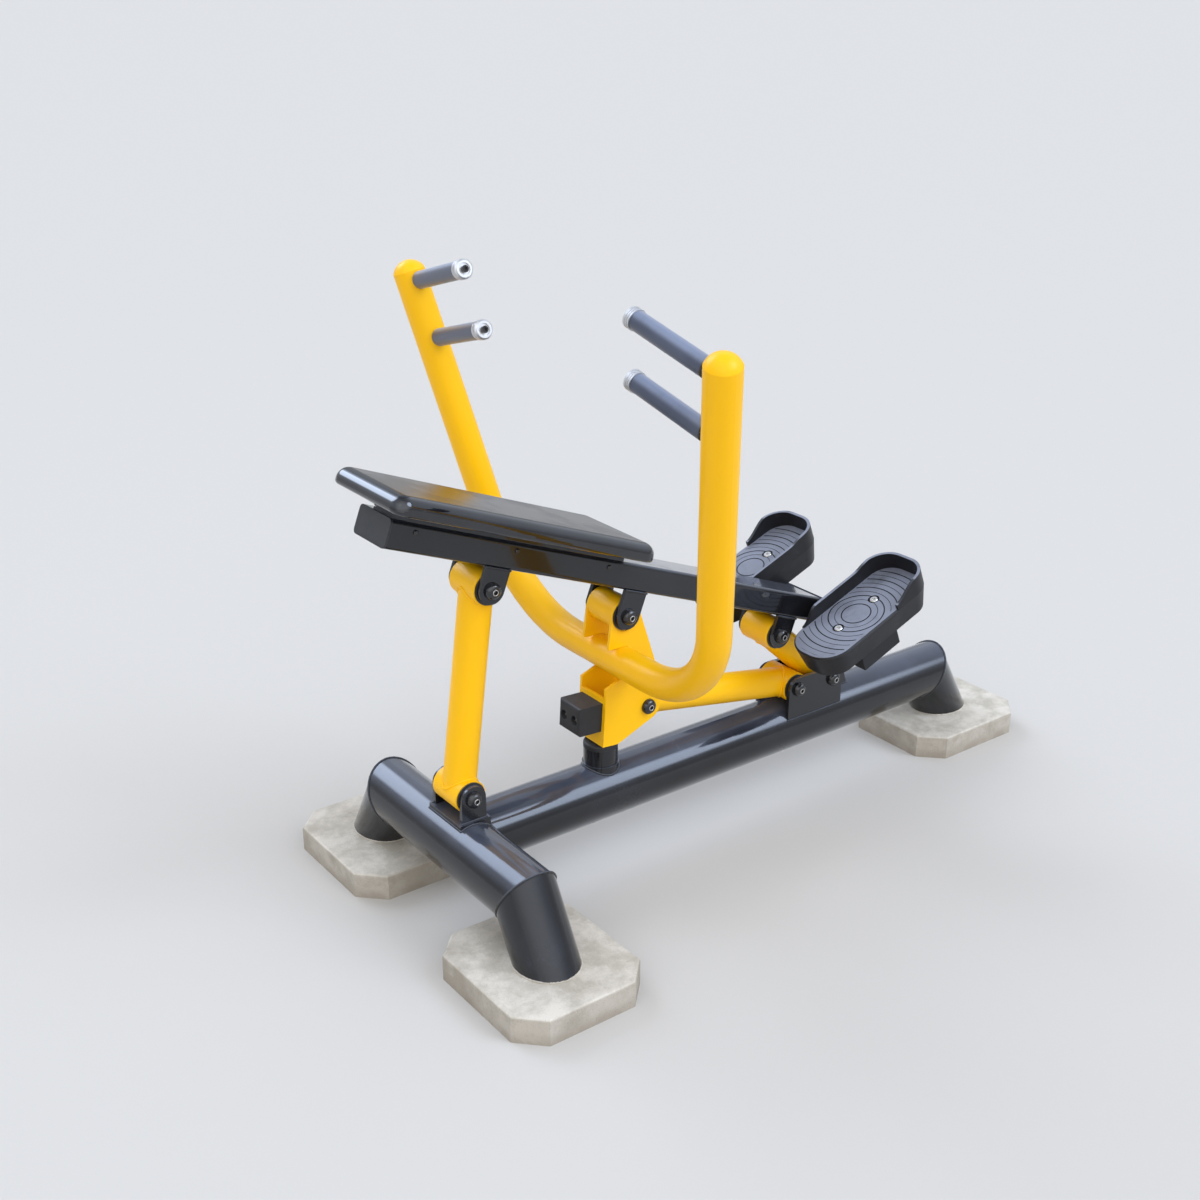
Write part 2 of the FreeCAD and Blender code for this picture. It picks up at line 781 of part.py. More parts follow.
def lever_box():
    """The folded plate that closes the rear and the sole between the cheeks, and the bumper screwed to it."""
    foot = sole_rear_point()
    mouth = (handle_base[0] - mouth_back, handle_base[1] - mouth_half)
    lean = math.degrees(math.atan2(mouth[0] - foot[0], mouth[1] - foot[1]))
    sole_length = (sole_rear - sole_front) / math.cos(math.radians(sole_tilt))
    back = Part.makeBox(back_plate_wall, 2 * cheek_inner, back_plate_height, vec(0, -cheek_inner, 0))
    sole = Part.makeBox(sole_length, 2 * cheek_inner, back_plate_wall, vec(0, -cheek_inner, 0))
    back = seated(back, foot, lean)
    plate = back.fuse(seated(sole, foot, sole_tilt)).removeSplitter()
    middle = bumper_above_sole + bumper_height / 2
    block = Part.makeBox(bumper_length, bumper_width, bumper_height,
                         vec(-bumper_length, -bumper_width / 2, bumper_above_sole))
    block = block.makeFillet(bumper_edge_r, [edge for edge in block.Edges if edge.BoundBox.XMax < -touch])
    screws = []
    for side in (-1, 1):
        y = side * bumper_hole_pitch / 2
        block = block.cut(rod(vec(-bumper_length, y, middle), vec(0, y, middle), bumper_hole_d / 2))
        ledge = vec(-bumper_length + bumper_recess, y, middle)
        block = block.cut(rod(vec(-bumper_length, y, middle), ledge, bumper_recess_d / 2))
        head = rod(ledge - vec(bumper_screw_head, 0, 0), ledge, bumper_screw_head_d / 2)
        screws.append(seated(head.fuse(rod(ledge, vec(0, y, middle), bumper_screw_d / 2)), foot, lean))
    return {"lever_back_plate": plate, "bumper_block": seated(block, foot, lean),
            "bumper_screws": group(screws)}


# Pedals

def pedal_discs(inset):
    """The plan of a pedal, toe forward, drawn in by an inset all round."""
    side = pedal_width / 2
    heel_side = side - pedal_heel_r
    toe_side = side - pedal_toe_r
    heel = -pedal_heel + pedal_heel_r
    toe = pedal_toe - pedal_toe_r
    return [(heel, -heel_side, pedal_heel_r - inset), (toe, -toe_side, pedal_toe_r - inset),
            (toe, toe_side, pedal_toe_r - inset), (heel, heel_side, pedal_heel_r - inset)]


def eased(value, start, length):
    """A share from 0 to 1 that eases in and out over a length."""
    share = min(max((value - start) / length, 0), 1)
    return share * share * (3 - 2 * share)


def inner_rim_height(along):
    """The height of the rim on the inner side."""
    rise = (rim_inner - rim_low) * eased(along, -pedal_heel + inner_ramp_from_heel, inner_ramp_length)
    toe = (rim_toe - rim_inner) * eased(along, pedal_toe - inner_toe_ramp_from_toe, inner_toe_ramp_length)
    return rim_low + rise + toe


def outer_rim_height(along):
    """The height of the rim on the outer side, from its step to the toe."""
    return rim_step + (rim_toe - rim_step) * eased(along, pedal_toe - outer_step_from_toe, outer_ramp_length)


def rim_side(ring, start, height, side):
    """The part of a rim's ring on one side, from a start to the toe, under a smooth upper edge."""
    end = pedal_toe + rim_wall
    step = (end - start) / (rim_stations - 1)
    points = [vec(start + index * step, 0, height(start + index * step)) for index in range(rim_stations)]
    edge = Part.BSplineCurve()
    edge.interpolate(points)
    path = [points[-1], vec(end, 0, -tread_edge), vec(start, 0, -tread_edge), points[0]]
    lines = [Part.LineSegment(path[index], path[index + 1]).toShape() for index in range(3)]
    return ring.common(Part.Face(Part.Wire([edge.toShape()] + lines)).extrude(vec(0, side * pedal_width, 0)))


def rim_sides():
    """The rim: along the inner side, round the toe and a short way back on the outer side."""
    ring = plan_block(pedal_discs(0), -tread_edge, rim_toe + rim_wall)
    ring = ring.cut(plan_block(pedal_discs(rim_wall), -tread_edge, rim_toe + rim_wall))
    inner = rim_side(ring, -pedal_heel + inner_ramp_from_heel, inner_rim_height, -1)
    outer = rim_side(ring, pedal_toe - outer_step_from_toe, outer_rim_height, 1)
    return [inner, outer]


def tread_middle():
    """The middle of the tread's rings, between its two screws."""
    return tread_middle_from_heel - pedal_heel


def screw_places():
    """Where the two screws of a pedal lie along it."""
    return [tread_middle() + side * pedal_screw_spacing / 2 for side in (-1, 1)]


def tread_grooves():
    """Rings about the middle of the tread, wide and fine in turn, cut off short of the rim."""
    field = plan_block(pedal_discs(rim_wall + groove_margin), -groove_depth, 0)
    middle = vec(tread_middle(), 0, -groove_depth)
    rings = []
    for index in range(groove_count):
        radius = groove_r + index * groove_pitch
        half = (groove_fine if index % 2 else groove_wide) / 2
        outer = Part.makeCylinder(radius + half, groove_depth, middle)
        rings.append(outer.cut(Part.makeCylinder(radius - half, groove_depth, middle)))
    return [field.common(ring) for ring in rings]


def pedal():
    """A moulded pedal, outer side to the left: tapered body, grooved tread and a rim open at the heel."""
    base = plan_wire(pedal_discs(pedal_base_inset), -pedal_depth)
    shoulder = plan_wire(pedal_discs(0), -tread_edge)
    body = Part.makeLoft([base, shoulder], True, True)
    body = body.fuse(Part.makeLoft([shoulder, plan_wire(pedal_discs(tread_edge), 0)], True, True))
    shape = body.fuse(rim_sides()).removeSplitter()
    for groove in tread_grooves():
        shape = shape.cut(groove)
    for along in screw_places():
        shape = shape.cut(Part.makeCylinder(pedal_recess_d / 2, pedal_recess, vec(along, 0, -pedal_recess)))
    return shape


def pedal_screw(along):
    """A low socket screw in its recess in the tread."""
    head_r = pedal_screw_d / 2
    socket_r = pedal_socket_d / 2
    top = pedal_screw_head
    floor = top - pedal_socket_depth
    profile = [(0, 0), (head_r, 0), (head_r, top - pedal_screw_edge), (head_r - pedal_screw_edge, top),
               (socket_r, top), (socket_r, floor), (0, floor)]
    return turned(profile, {}, vec(along, 0, -pedal_recess), vec(0, 0, 1))


def on_pedal(shape, spread):
    """A shape in the pedal's frame, moved to the left pedal or to the middle plane."""
    moved = shape.copy()
    moved.translate(vec(0, spread, 0))
    return seated(moved, (pedal_x, pedal_height), -pedal_toe_up)


def crossbar_envelope():
    """The full block of the crossbar, in the pedals' frame."""
    corner = vec(bar_rear, -bar_half, -pedal_depth - bar_height)
    return Part.makeBox(bar_width, 2 * bar_half, bar_height, corner)


def crossbar():
    """The square tube under both pedals, in the pedals' frame."""
    corner = vec(bar_rear + bar_wall, -bar_half, -pedal_depth - bar_height + bar_wall)
    hollow = Part.makeBox(bar_width - 2 * bar_wall, 2 * bar_half, bar_height - 2 * bar_wall, corner)
    return crossbar_envelope().cut(hollow)


def pedal_block():
    """The block that a pedal is screwed to, round the end of the crossbar, in the left pedal's place."""
    half = pedal_width / 2 - pedal_base_inset
    corner = vec(-block_rear, pedal_spread - half, -pedal_depth - bar_height)
    block = Part.makeBox(block_rear + bar_rear + bar_width, 2 * half, bar_height, corner)
    return block.cut(crossbar_envelope())


def pedal_post():
    """The leaning post from the spine to the underside of the crossbar."""
    turn = math.radians(pedal_toe_up)
    along = bar_rear + bar_width / 2
    low = -pedal_depth - bar_height
    head = vec(pedal_x + along * math.cos(turn) - low * math.sin(turn), 0,
               pedal_height + along * math.sin(turn) + low * math.cos(turn))
    base = vec(post_foot_x, 0, frame_top)
    lean = math.degrees(math.atan2(head.x - base.x, head.z - base.z))
    over = (head - base).Length + post_width
    post = Part.makeBox(post_depth, post_width, 2 * over, vec(-post_depth / 2, -post_width / 2, -over))
    hollow = Part.makeBox(post_depth - 2 * post_wall, post_width - 2 * post_wall, 2 * over,
                          vec(-post_depth / 2 + post_wall, -post_width / 2 + post_wall, -over))
    post = seated(post.cut(hollow), (base.x, base.z), lean)
    post = trimmed(post, head, vec(-math.sin(turn), 0, math.cos(turn)))
    post = trimmed(post, base - vec(0, 0, main_r), vec(0, 0, -1))
    return post.cut(spine_bar())


def pedal_group():
    """Both pedals and their screws, the blocks under them, the crossbar and the post."""
    left = on_pedal(pedal(), pedal_spread)
    screws = [both_sides(on_pedal(pedal_screw(along), pedal_spread)) for along in screw_places()]
    return {"pedal_left": left, "pedal_right": mirrored(left), "pedal_screws": group(screws),
            "pedal_blocks": both_sides(on_pedal(pedal_block(), 0)),
            "pedal_crossbar": on_pedal(crossbar(), 0), "pedal_post": pedal_post()}


def machine():
    """Every node of the machine by name."""
    nodes = {}
    nodes.update(frame_tubes())
    nodes.update(plinths())
    nodes.update(stop())
    nodes["rear_clevis"] = rear_clevis()
    nodes["front_bracket_left"] = front_bracket()
    nodes["front_bracket_right"] = mirrored(nodes["front_bracket_left"])
    nodes.update(pedal_group())
    frame_pivots = (rear_foot, front_foot, arm_foot)
    beam_pivots = (rear_top, lever_hub, front_top)
    for name, points in (("frame", frame_pivots), ("beam", beam_pivots)):
        nodes[name + "_pivot_pins"] = group([across(point, pin_r, clevis_outer) for point in points])
        nodes[name + "_pivot_caps"] = group([cap_pair(point, clevis_outer) for point in points])
    nodes.update(link("rear_link", rear_foot, rear_top, sleeve_half, sleeve_half, pin_run, pin_run))
    nodes.update(link("front_link", front_foot, front_top, sleeve_half, sleeve_half, pin_run,
                      front_open_play))
    arm_half = cheek_inner - side_play - bush_flange
    nodes.update(link("arm", arm_foot, lever_foot, sleeve_half, arm_half, pin_run, arm_open_play))
    nodes["seat_beam"] = beam_tube()
    nodes["beam_plugs"] = beam_plugs()
    nodes["hanger_rear"] = hanger(rear_top)
    nodes["hanger_middle"] = hanger(lever_hub)
    nodes["hanger_front"] = hanger(front_top)
    nodes["seat_spacer"] = seat_spacer()
    nodes["seat_panel"] = seat_panel()
    nodes["seat_screws"] = seat_screws()
    nodes["handle_tube"] = handle_tube()
    nodes["handle_caps"] = handle_caps()
    nodes.update(grip_set())
    nodes["lever_cheek_left"] = lever_cheek()
    nodes["lever_cheek_right"] = mirrored(nodes["lever_cheek_left"])
    nodes["lever_sleeve"] = sleeve(lever_hub, sleeve_half)
    nodes["lever_bushes"] = bush_pair(lever_hub, sleeve_half, pin_run)
    nodes.update(lever_box())
    nodes["lever_pivot_pin"] = across(lever_foot, pin_r, cheek_outer)
    nodes["lever_pivot_caps"] = cap_pair(lever_foot, cheek_outer)
    return nodes


nodes = machine()
extent = Part.makeCompound(list(nodes.values())).optimalBoundingBox(False)
centre_x = (extent.XMin + extent.XMax) / 2
os.makedirs("parts", exist_ok=True)
for name, shape in nodes.items():
    shape.translate(vec(-centre_x, 0, 0))
    shape.exportStep("parts/" + name + ".step")
size = [round(length, 1) for length in (extent.XLength, extent.YLength, extent.ZLength)]
print("nodes", len(nodes), "size", size)
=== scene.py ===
"""An outdoor rowing machine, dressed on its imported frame."""

import json
import logging
import math
from abc import ABC, abstractmethod
from dataclasses import dataclass
from enum import Enum
from typing import Callable, ClassVar, Iterable, Sequence

import bpy
from mathutils import Matrix, Vector


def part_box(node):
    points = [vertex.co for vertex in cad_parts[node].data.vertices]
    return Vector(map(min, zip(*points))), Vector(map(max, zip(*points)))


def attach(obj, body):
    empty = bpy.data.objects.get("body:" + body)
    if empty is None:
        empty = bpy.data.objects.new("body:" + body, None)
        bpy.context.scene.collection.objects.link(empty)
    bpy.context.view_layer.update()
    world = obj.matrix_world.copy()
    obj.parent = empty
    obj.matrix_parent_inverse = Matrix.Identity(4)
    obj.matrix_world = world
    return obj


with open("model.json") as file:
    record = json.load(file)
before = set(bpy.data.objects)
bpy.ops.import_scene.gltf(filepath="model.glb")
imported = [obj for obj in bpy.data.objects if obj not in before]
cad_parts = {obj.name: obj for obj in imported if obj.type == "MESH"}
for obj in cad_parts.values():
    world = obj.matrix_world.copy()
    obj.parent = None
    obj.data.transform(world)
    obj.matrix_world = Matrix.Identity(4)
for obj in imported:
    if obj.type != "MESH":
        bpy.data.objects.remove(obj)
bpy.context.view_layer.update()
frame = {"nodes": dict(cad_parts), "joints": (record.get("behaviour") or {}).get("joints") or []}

log = logging.getLogger("rowing_machine")

Colour = tuple[float, float, float]
Point = tuple[float, float, float]
Flat = tuple[float, float]
Socket = bpy.types.NodeSocket
Piece = bpy.types.Object

REAR_AXIS_X = sum(corner.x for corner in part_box("rear_cross_tube")) / 2

TUBE_SEAM_POINTS = 110
SPINE_SEAM_POINTS = 120
SLEEVE_SEAM_POINTS = 72
SLOT_SEAM_POINTS = 36
POST_SEAM_POINTS = 9
CLEVIS_SEAM_STEPS = 12


class Side(Enum):
    """The two sides of the middle plane, by the sign of Y."""

    LEFT = 1
    RIGHT = -1


class Slot(Enum):
    """The record's material slots."""

    BLACK_COAT = "black_coat"
    YELLOW_COAT = "yellow_coat"
    CONCRETE = "concrete"
    SEAT_GLOSS = "seat_gloss"
    GRIP_RUBBER = "grip_rubber"
    BUFFER_RUBBER = "buffer_rubber"
    PEDAL_PLASTIC = "pedal_plastic"
    PLUG_PLASTIC = "plug_plastic"
    CAP_BLACK = "cap_black"
    BARE_STEEL = "bare_steel"
    COLLAR_METAL = "collar_metal"
    BUSH_NYLON = "bush_nylon"


@dataclass(frozen=True)
class Pattern:
    """A noise: its features in a metre, its finer layers, their strength and a stretch along the axes."""

    scale: float
    detail: float = 2.0
    rough: float = 0.5
    stretch: Point | None = None


def fill(tree: bpy.types.NodeTree, node: bpy.types.Node, **values: object) -> None:
    """Link or set a node's inputs, with _ for a space in a name.

    Args:
        tree: The tree that holds the node.
        node: The node.
        values: A socket to link, or a constant, for each input.
    """
    for name, value in values.items():
        target = node.inputs[name.replace("_", " ")]
        if isinstance(value, Socket):
            tree.links.new(value, target)
        else:
            target.default_value = value


def add_node(tree: bpy.types.NodeTree, kind: str, **values: object) -> bpy.types.Node:
    """Add a node to a tree and fill its inputs.

    Args:
        tree: The tree.
        kind: The node's type.
        values: A socket to link, or a constant, for each input.

    Returns:
        The new node.
    """
    node = tree.nodes.new(kind)
    fill(tree, node, **values)
    return node


class Board:
    """A material's node tree, with short ways to add and join nodes."""

    def __init__(self, name: str) -> None:
        """Start an empty material of a name."""
        self.material = bpy.data.materials.new(name)
        self.material.use_nodes = True
        self.tree = self.material.node_tree
        self.tree.nodes.clear()
        self.shader = self.tree.nodes.new("ShaderNodeBsdfPrincipled")
        add_node(self.tree, "ShaderNodeOutputMaterial", Surface=self.shader.outputs["BSDF"])
        where = self.tree.nodes.new("ShaderNodeTexCoord")
        self.place = where.outputs["Object"]
        self.facing = where.outputs["Normal"]

    def set(self, **values: object) -> None:
        """Link or set the shader's own inputs, with _ for a space in a name."""
        fill(self.tree, self.shader, **values)

    def join(self, source: Socket, target: Socket) -> None:
        """Link one socket to another."""
        self.tree.links.new(source, target)

    def stretched(self, scale: Point) -> Socket:
        """Object coordinates that are stretched along the axes."""
        return add_node(self.tree, "ShaderNodeMapping", Vector=self.place, Scale=scale).outputs["Vector"]

    def upward(self, start: float, end: float) -> Socket:
        """How far the surface faces up, 0 at one height of its normal to 1 at another."""
        split = add_node(self.tree, "ShaderNodeSeparateXYZ", Vector=self.facing)
        return self.span(split.outputs["Z"], start, end)

    def along(self, direction: Vector) -> Socket:
        """How far a point lies along a direction from the origin."""
        node = self.tree.nodes.new("ShaderNodeVectorMath")
        node.operation = "DOT_PRODUCT"
        node.inputs[1].default_value = direction
        self.join(self.place, node.inputs[0])
        return node.outputs["Value"]

    def below(self, height: float) -> Socket:
        """How near the floor a point is, 1 on the floor to 0 at a height."""
        split = add_node(self.tree, "ShaderNodeSeparateXYZ", Vector=self.place)
        return self.span(split.outputs["Z"], height, 0.0)

    def noise(self, pattern: Pattern) -> Socket:
        """A noise value over the surface, about 0 to 1."""
        place = self.stretched(pattern.stretch) if pattern.stretch else self.place
        node = add_node(self.tree, "ShaderNodeTexNoise", Vector=place, Scale=pattern.scale,
                        Detail=pattern.detail, Roughness=pattern.rough)
        return node.outputs["Fac"]

    def cells(self, scale: float) -> Socket:
        """The distance to the nearest cell's middle, for pores."""
        return add_node(self.tree, "ShaderNodeTexVoronoi", Vector=self.place, Scale=scale).outputs["Distance"]

    def span(self, value: Socket, start: float, end: float, low: float = 0.0,
             high: float = 1.0) -> Socket:
        """A value remapped from one range to another, and held within it.

        Args:
            value: The socket of the value.
            start: The value that becomes low.
            end: The value that becomes high.
            low: The first end of the new range.
            high: The other end of the new range.

        Returns:
            The socket of the new value.
        """
        node = add_node(self.tree, "ShaderNodeMapRange", Value=value, From_Min=start, From_Max=end,
                        To_Min=low, To_Max=high)
        node.interpolation_type = "SMOOTHSTEP"
        return node.outputs["Result"]

    def share(self, value: Socket, most: float) -> Socket:
        """A value of 0 to 1 remapped to run up to a greatest share."""
        return self.span(value, 0.0, 1.0, 0.0, most)

    def product(self, first: Socket, second: Socket) -> Socket:
        """Two values multiplied."""
        node = self.tree.nodes.new("ShaderNodeMath")
        node.operation = "MULTIPLY"
        self.join(first, node.inputs[0])
        self.join(second, node.inputs[1])
        return node.outputs["Value"]

    def blend(self, share: Socket, first: Colour | Socket,
              second: Colour) -> Socket:
        """A colour mixed from two by a share.

        Args:
            share: The socket of the share of the second colour.
            first: A colour, or the socket of one.
            second: The other colour.

        Returns:
            The socket of the mixed colour.
        """
        node = self.tree.nodes.new("ShaderNodeMix")
        node.data_type = "RGBA"
        self.join(share, node.inputs["Factor"])
        colour_a, colour_b = [socket for socket in node.inputs if socket.type == "RGBA"]
        if isinstance(first, Socket):
            self.join(first, colour_a)
        else:
            colour_a.default_value = (*first, 1.0)
        colour_b.default_value = (*second, 1.0)
        return [socket for socket in node.outputs if socket.type == "RGBA"][0]

    def relief(self, height: Socket, strength: float, distance: float,
               under: Socket | None = None) -> Socket:
        """A bump from a height.

        Args:
            height: The socket of the height, 0 to 1.
            strength: How much of the bump shows.
            distance: How many metres a height of 1 stands for.
            under: A normal to add to, or None.

        Returns:
            The socket of the bumped normal.
        """
        node = add_node(self.tree, "ShaderNodeBump", Strength=strength, Distance=distance, Height=height)
        if under is not None:
            self.join(under, node.inputs["Normal"])
        return node.outputs["Normal"]


@dataclass(frozen=True)
class Finish(ABC):
    """The look of a material slot."""

    slot: Slot
    base: Colour

    @abstractmethod
    def paint(self, board: Board) -> None:
        """Add this finish's nodes to a board."""

    def material(self) -> bpy.types.Material:
        """The material of this finish, made the first time it is asked for."""
        name = self.slot.value + "_finish"
        if name not in bpy.data.materials:
            board = Board(name)
            self.paint(board)
        return bpy.data.materials[name]


@dataclass(frozen=True)
class PowderCoat(Finish):
    """A baked coat on steel, with orange peel, dull places, and a pale tone on what faces up that is partly
    dusty and partly a painted highlight of the sky.
    """

    CLOUDS: ClassVar[Pattern] = Pattern(7.0, 6.0, 0.62)
    STREAKS: ClassVar[Pattern] = Pattern(16.0, 4.0, 0.55, (1.0, 1.0, 0.22))
    SPLASHES: ClassVar[Pattern] = Pattern(55.0, 5.0, 0.7)
    GRAINS: ClassVar[Pattern] = Pattern(900.0, 3.0, 0.7)
    WAVES: ClassVar[Pattern] = Pattern(38.0)
    PEEL: ClassVar[Pattern] = Pattern(340.0)

    # Painted highlight: this pale bluish colour, laid on what faces up, is partly dust and partly a painted
    # reflection of the sky.
    dust_and_highlight: Colour = (0.24, 0.275, 0.38)
    dust_and_highlight_amount: float = 0.2
    film_share: float = 0.1
    grain_share: float = 0.5
    splashed: float = 0.05
    splash_height: float = 0.16
    smooth: float = 0.17
    dull: float = 0.28
    peel: float = 0.42
    shine: float = 0.2
    # Painted reflection colour: this bluish tint of the reflections stands in for the sky's colour.
    tint: Colour = (0.8, 0.88, 1.0)
    gloss_layer: float = 0.8
    gloss_rough: float = 0.07

    def paint(self, board: Board) -> None:
        """Add the coat's nodes to a board."""
        clouds = board.noise(self.CLOUDS)
        streaks = board.noise(self.STREAKS)
        film = board.product(board.span(clouds, 0.32, 0.72), board.span(streaks, 0.3, 0.68))
        # Painted highlight: what faces up is lightened towards the pale colour, partly as dust and partly as
        # a painted reflection of the sky.
        top_dust_and_highlight = board.product(board.upward(0.4, 1.0), board.span(clouds, 0.3, 0.7, 0.7, 1.0))
        splashes = board.span(board.noise(self.SPLASHES), 0.45, 0.7)
        splash = board.product(board.below(self.splash_height), splashes)
        grains = board.span(board.noise(self.GRAINS), 0.64, 0.74, 0.0, self.dust_and_highlight_amount * self.grain_share)
        toned = board.blend(board.share(film, self.dust_and_highlight_amount * self.film_share), self.base, self.dust_and_highlight)
        topped = board.blend(board.share(top_dust_and_highlight, self.dust_and_highlight_amount), toned, self.dust_and_highlight)
        marked = board.blend(board.share(splash, self.splashed), topped, self.dust_and_highlight)
        waves = board.relief(board.noise(self.WAVES), strength=0.025, distance=0.0006)
        peel = board.relief(board.noise(self.PEEL), strength=self.peel, distance=0.0003, under=waves)
        board.set(Base_Color=board.blend(grains, marked, self.dust_and_highlight), Normal=peel,
                  Roughness=board.span(film, 0.0, 0.8, self.smooth, self.dull),
                  Coat_Weight=self.gloss_layer, Coat_Roughness=self.gloss_rough,
                  Specular_IOR_Level=self.shine, Specular_Tint=(*self.tint, 1.0))


@dataclass(frozen=True)
class CastConcrete(Finish):
    """A cast plinth: cement skin, sand grains, pores, damp stains near the floor, and sides darkened as
    painted shade.
    """

    CLOUDS: ClassVar[Pattern] = Pattern(14.0, 8.0, 0.7)
    STAINS: ClassVar[Pattern] = Pattern(6.5, 7.0, 0.68)
    GRAINS: ClassVar[Pattern] = Pattern(420.0, 3.0, 0.7)
    DAMP: ClassVar[Pattern] = Pattern(28.0, 5.0, 0.65)
    LUMPS: ClassVar[Pattern] = Pattern(60.0, 6.0, 0.65)

    pale: Colour = (0.63, 0.58, 0.5)
    # The dark colour of real stains and damp, and also of the painted shade on the sides.
    stain_and_shade: Colour = (0.22, 0.18, 0.135)
    stain_share: float = 0.26
    # Painted shade: how much darker the sides are than the top, where less light falls.
    side_shade: float = 0.36
    damp_height: float = 0.032
    damp_share: float = 0.5
    grain_share: float = 0.5
    pore_scale: float = 70.0

    def paint(self, board: Board) -> None:
        """Add the concrete's nodes to a board."""
        clouds = board.noise(self.CLOUDS)
        stains = board.span(board.noise(self.STAINS), 0.5, 0.7, 0.0, self.stain_share)
        grains = board.noise(self.GRAINS)
        pores = board.span(board.cells(self.pore_scale), 0.02, 0.12)
        damp = board.product(board.below(self.damp_height), board.span(board.noise(self.DAMP), 0.3, 0.62))
        skin = board.blend(board.span(clouds, 0.36, 0.64), self.base, self.pale)
        # Painted shade: the sides are darkened towards the dark colour, standing in for the shade they get
        # under light from above.
        side_shade_mask = board.span(board.upward(0.3, 0.8), 0.0, 1.0, self.side_shade, 0.0)
        side_shaded = board.blend(side_shade_mask, skin, self.stain_and_shade)
        stained = board.blend(stains, side_shaded, self.stain_and_shade)
        wet = board.blend(board.share(damp, self.damp_share), stained, self.stain_and_shade)
        grainy = board.blend(board.span(grains, 0.58, 0.7, 0.0, self.grain_share), wet, self.stain_and_shade)
        sandy = board.relief(grains, strength=0.4, distance=0.0009)
        lumpy = board.relief(board.noise(self.LUMPS), strength=0.5, distance=0.0025, under=sandy)
        pitted = board.relief(pores, strength=0.5, distance=0.0018, under=lumpy)
        board.set(Base_Color=grainy, Normal=pitted, Roughness=0.93, Specular_IOR_Level=0.3)


@dataclass(frozen=True)
class Moulding(Finish):
    """A moulded plastic or rubber, with a fine grain, scuffs, and a pale tone on what faces up that is partly
    dusty and partly a painted highlight of the sky.
    """

    CLOUDS: ClassVar[Pattern] = Pattern(13.0, 6.0, 0.62)
    SCUFFS: ClassVar[Pattern] = Pattern(75.0, 5.0, 0.7, (0.25, 1.0, 1.0))

    dust_and_highlight: Colour = (0.17, 0.175, 0.19)
    dust_and_highlight_amount: float = 0.12
    film_share: float = 0.083
    scuff_share: float = 0.167
    smooth: float = 0.34
    dull: float = 0.5
    grain_scale: float = 1100.0
    grain: float = 0.2
    sheen: float = 0.0
    shine: float = 0.5
    gloss_layer: float = 0.0

    def paint(self, board: Board) -> None:
        """Add the moulding's nodes to a board."""
        clouds = board.noise(self.CLOUDS)
        scuffs = board.span(board.noise(self.SCUFFS), 0.58, 0.72)
        film = board.span(clouds, 0.36, 0.7)
        # Painted highlight: what faces up is lightened towards the pale colour, partly as dust and partly as
        # a painted reflection of the sky.
        top_dust_and_highlight = board.product(self.dust_and_highlight_faces(board), board.span(clouds, 0.05, 0.55))
        toned = board.blend(board.share(film, self.dust_and_highlight_amount * self.film_share), self.base, self.dust_and_highlight)
        topped = board.blend(board.share(top_dust_and_highlight, self.dust_and_highlight_amount), toned, self.dust_and_highlight)
        scuffed = board.share(scuffs, self.dust_and_highlight_amount * self.scuff_share)
        grain = board.noise(Pattern(self.grain_scale, 3.0, 0.6))
        board.set(Base_Color=board.blend(scuffed, topped, self.dust_and_highlight),
                  Normal=board.relief(grain, strength=self.grain, distance=0.0002),
                  Roughness=board.span(film, 0.0, 1.0, self.smooth, self.dull),
                  Sheen_Weight=self.sheen, Sheen_Roughness=0.4, Specular_IOR_Level=self.shine,
                  Coat_Weight=self.gloss_layer, Coat_Roughness=self.smooth)

    def dust_and_highlight_faces(self, board: Board) -> Socket:
        """Where a pale tone goes, partly dusty and partly a painted highlight: on what faces up."""
        return board.upward(0.3, 0.95)


@dataclass(frozen=True)
class TreadMoulding(Moulding):
    """A moulding with treads rubbed to a gloss and made pale, partly worn and dusty and partly a painted
    highlight, and dark grooves between them.
    """

    GROOVE_DARK: ClassVar[float] = 0.0012
    GROOVE_PALE: ClassVar[float] = 0.0004

    tread_gloss: float = 0.15
    tread_rough: float = 0.3

    def paint(self, board: Board) -> None:
        """Add the moulding's nodes to a board, then the treads' gloss."""
        super().paint(board)
        gloss = board.share(self.dust_and_highlight_faces(board), self.tread_gloss)
        board.set(Coat_Weight=gloss, Coat_Roughness=self.tread_rough)

    def dust_and_highlight_faces(self, board: Board) -> Socket:
        """Where the treads are made pale, partly rubbed by wear and partly a painted highlight: on their
        level, and not down in the grooves.
        """
        faces = frame["nodes"]["pedal_left"].data.polygons
        largest = max((face for face in faces if face.normal.z > 0.5), key=lambda face: face.area)
        level = largest.normal.dot(largest.center)
        height = board.along(largest.normal)
        ridges = board.span(height, level - self.GROOVE_DARK, level - self.GROOVE_PALE)
        return board.product(board.upward(0.8, 0.9), ridges)


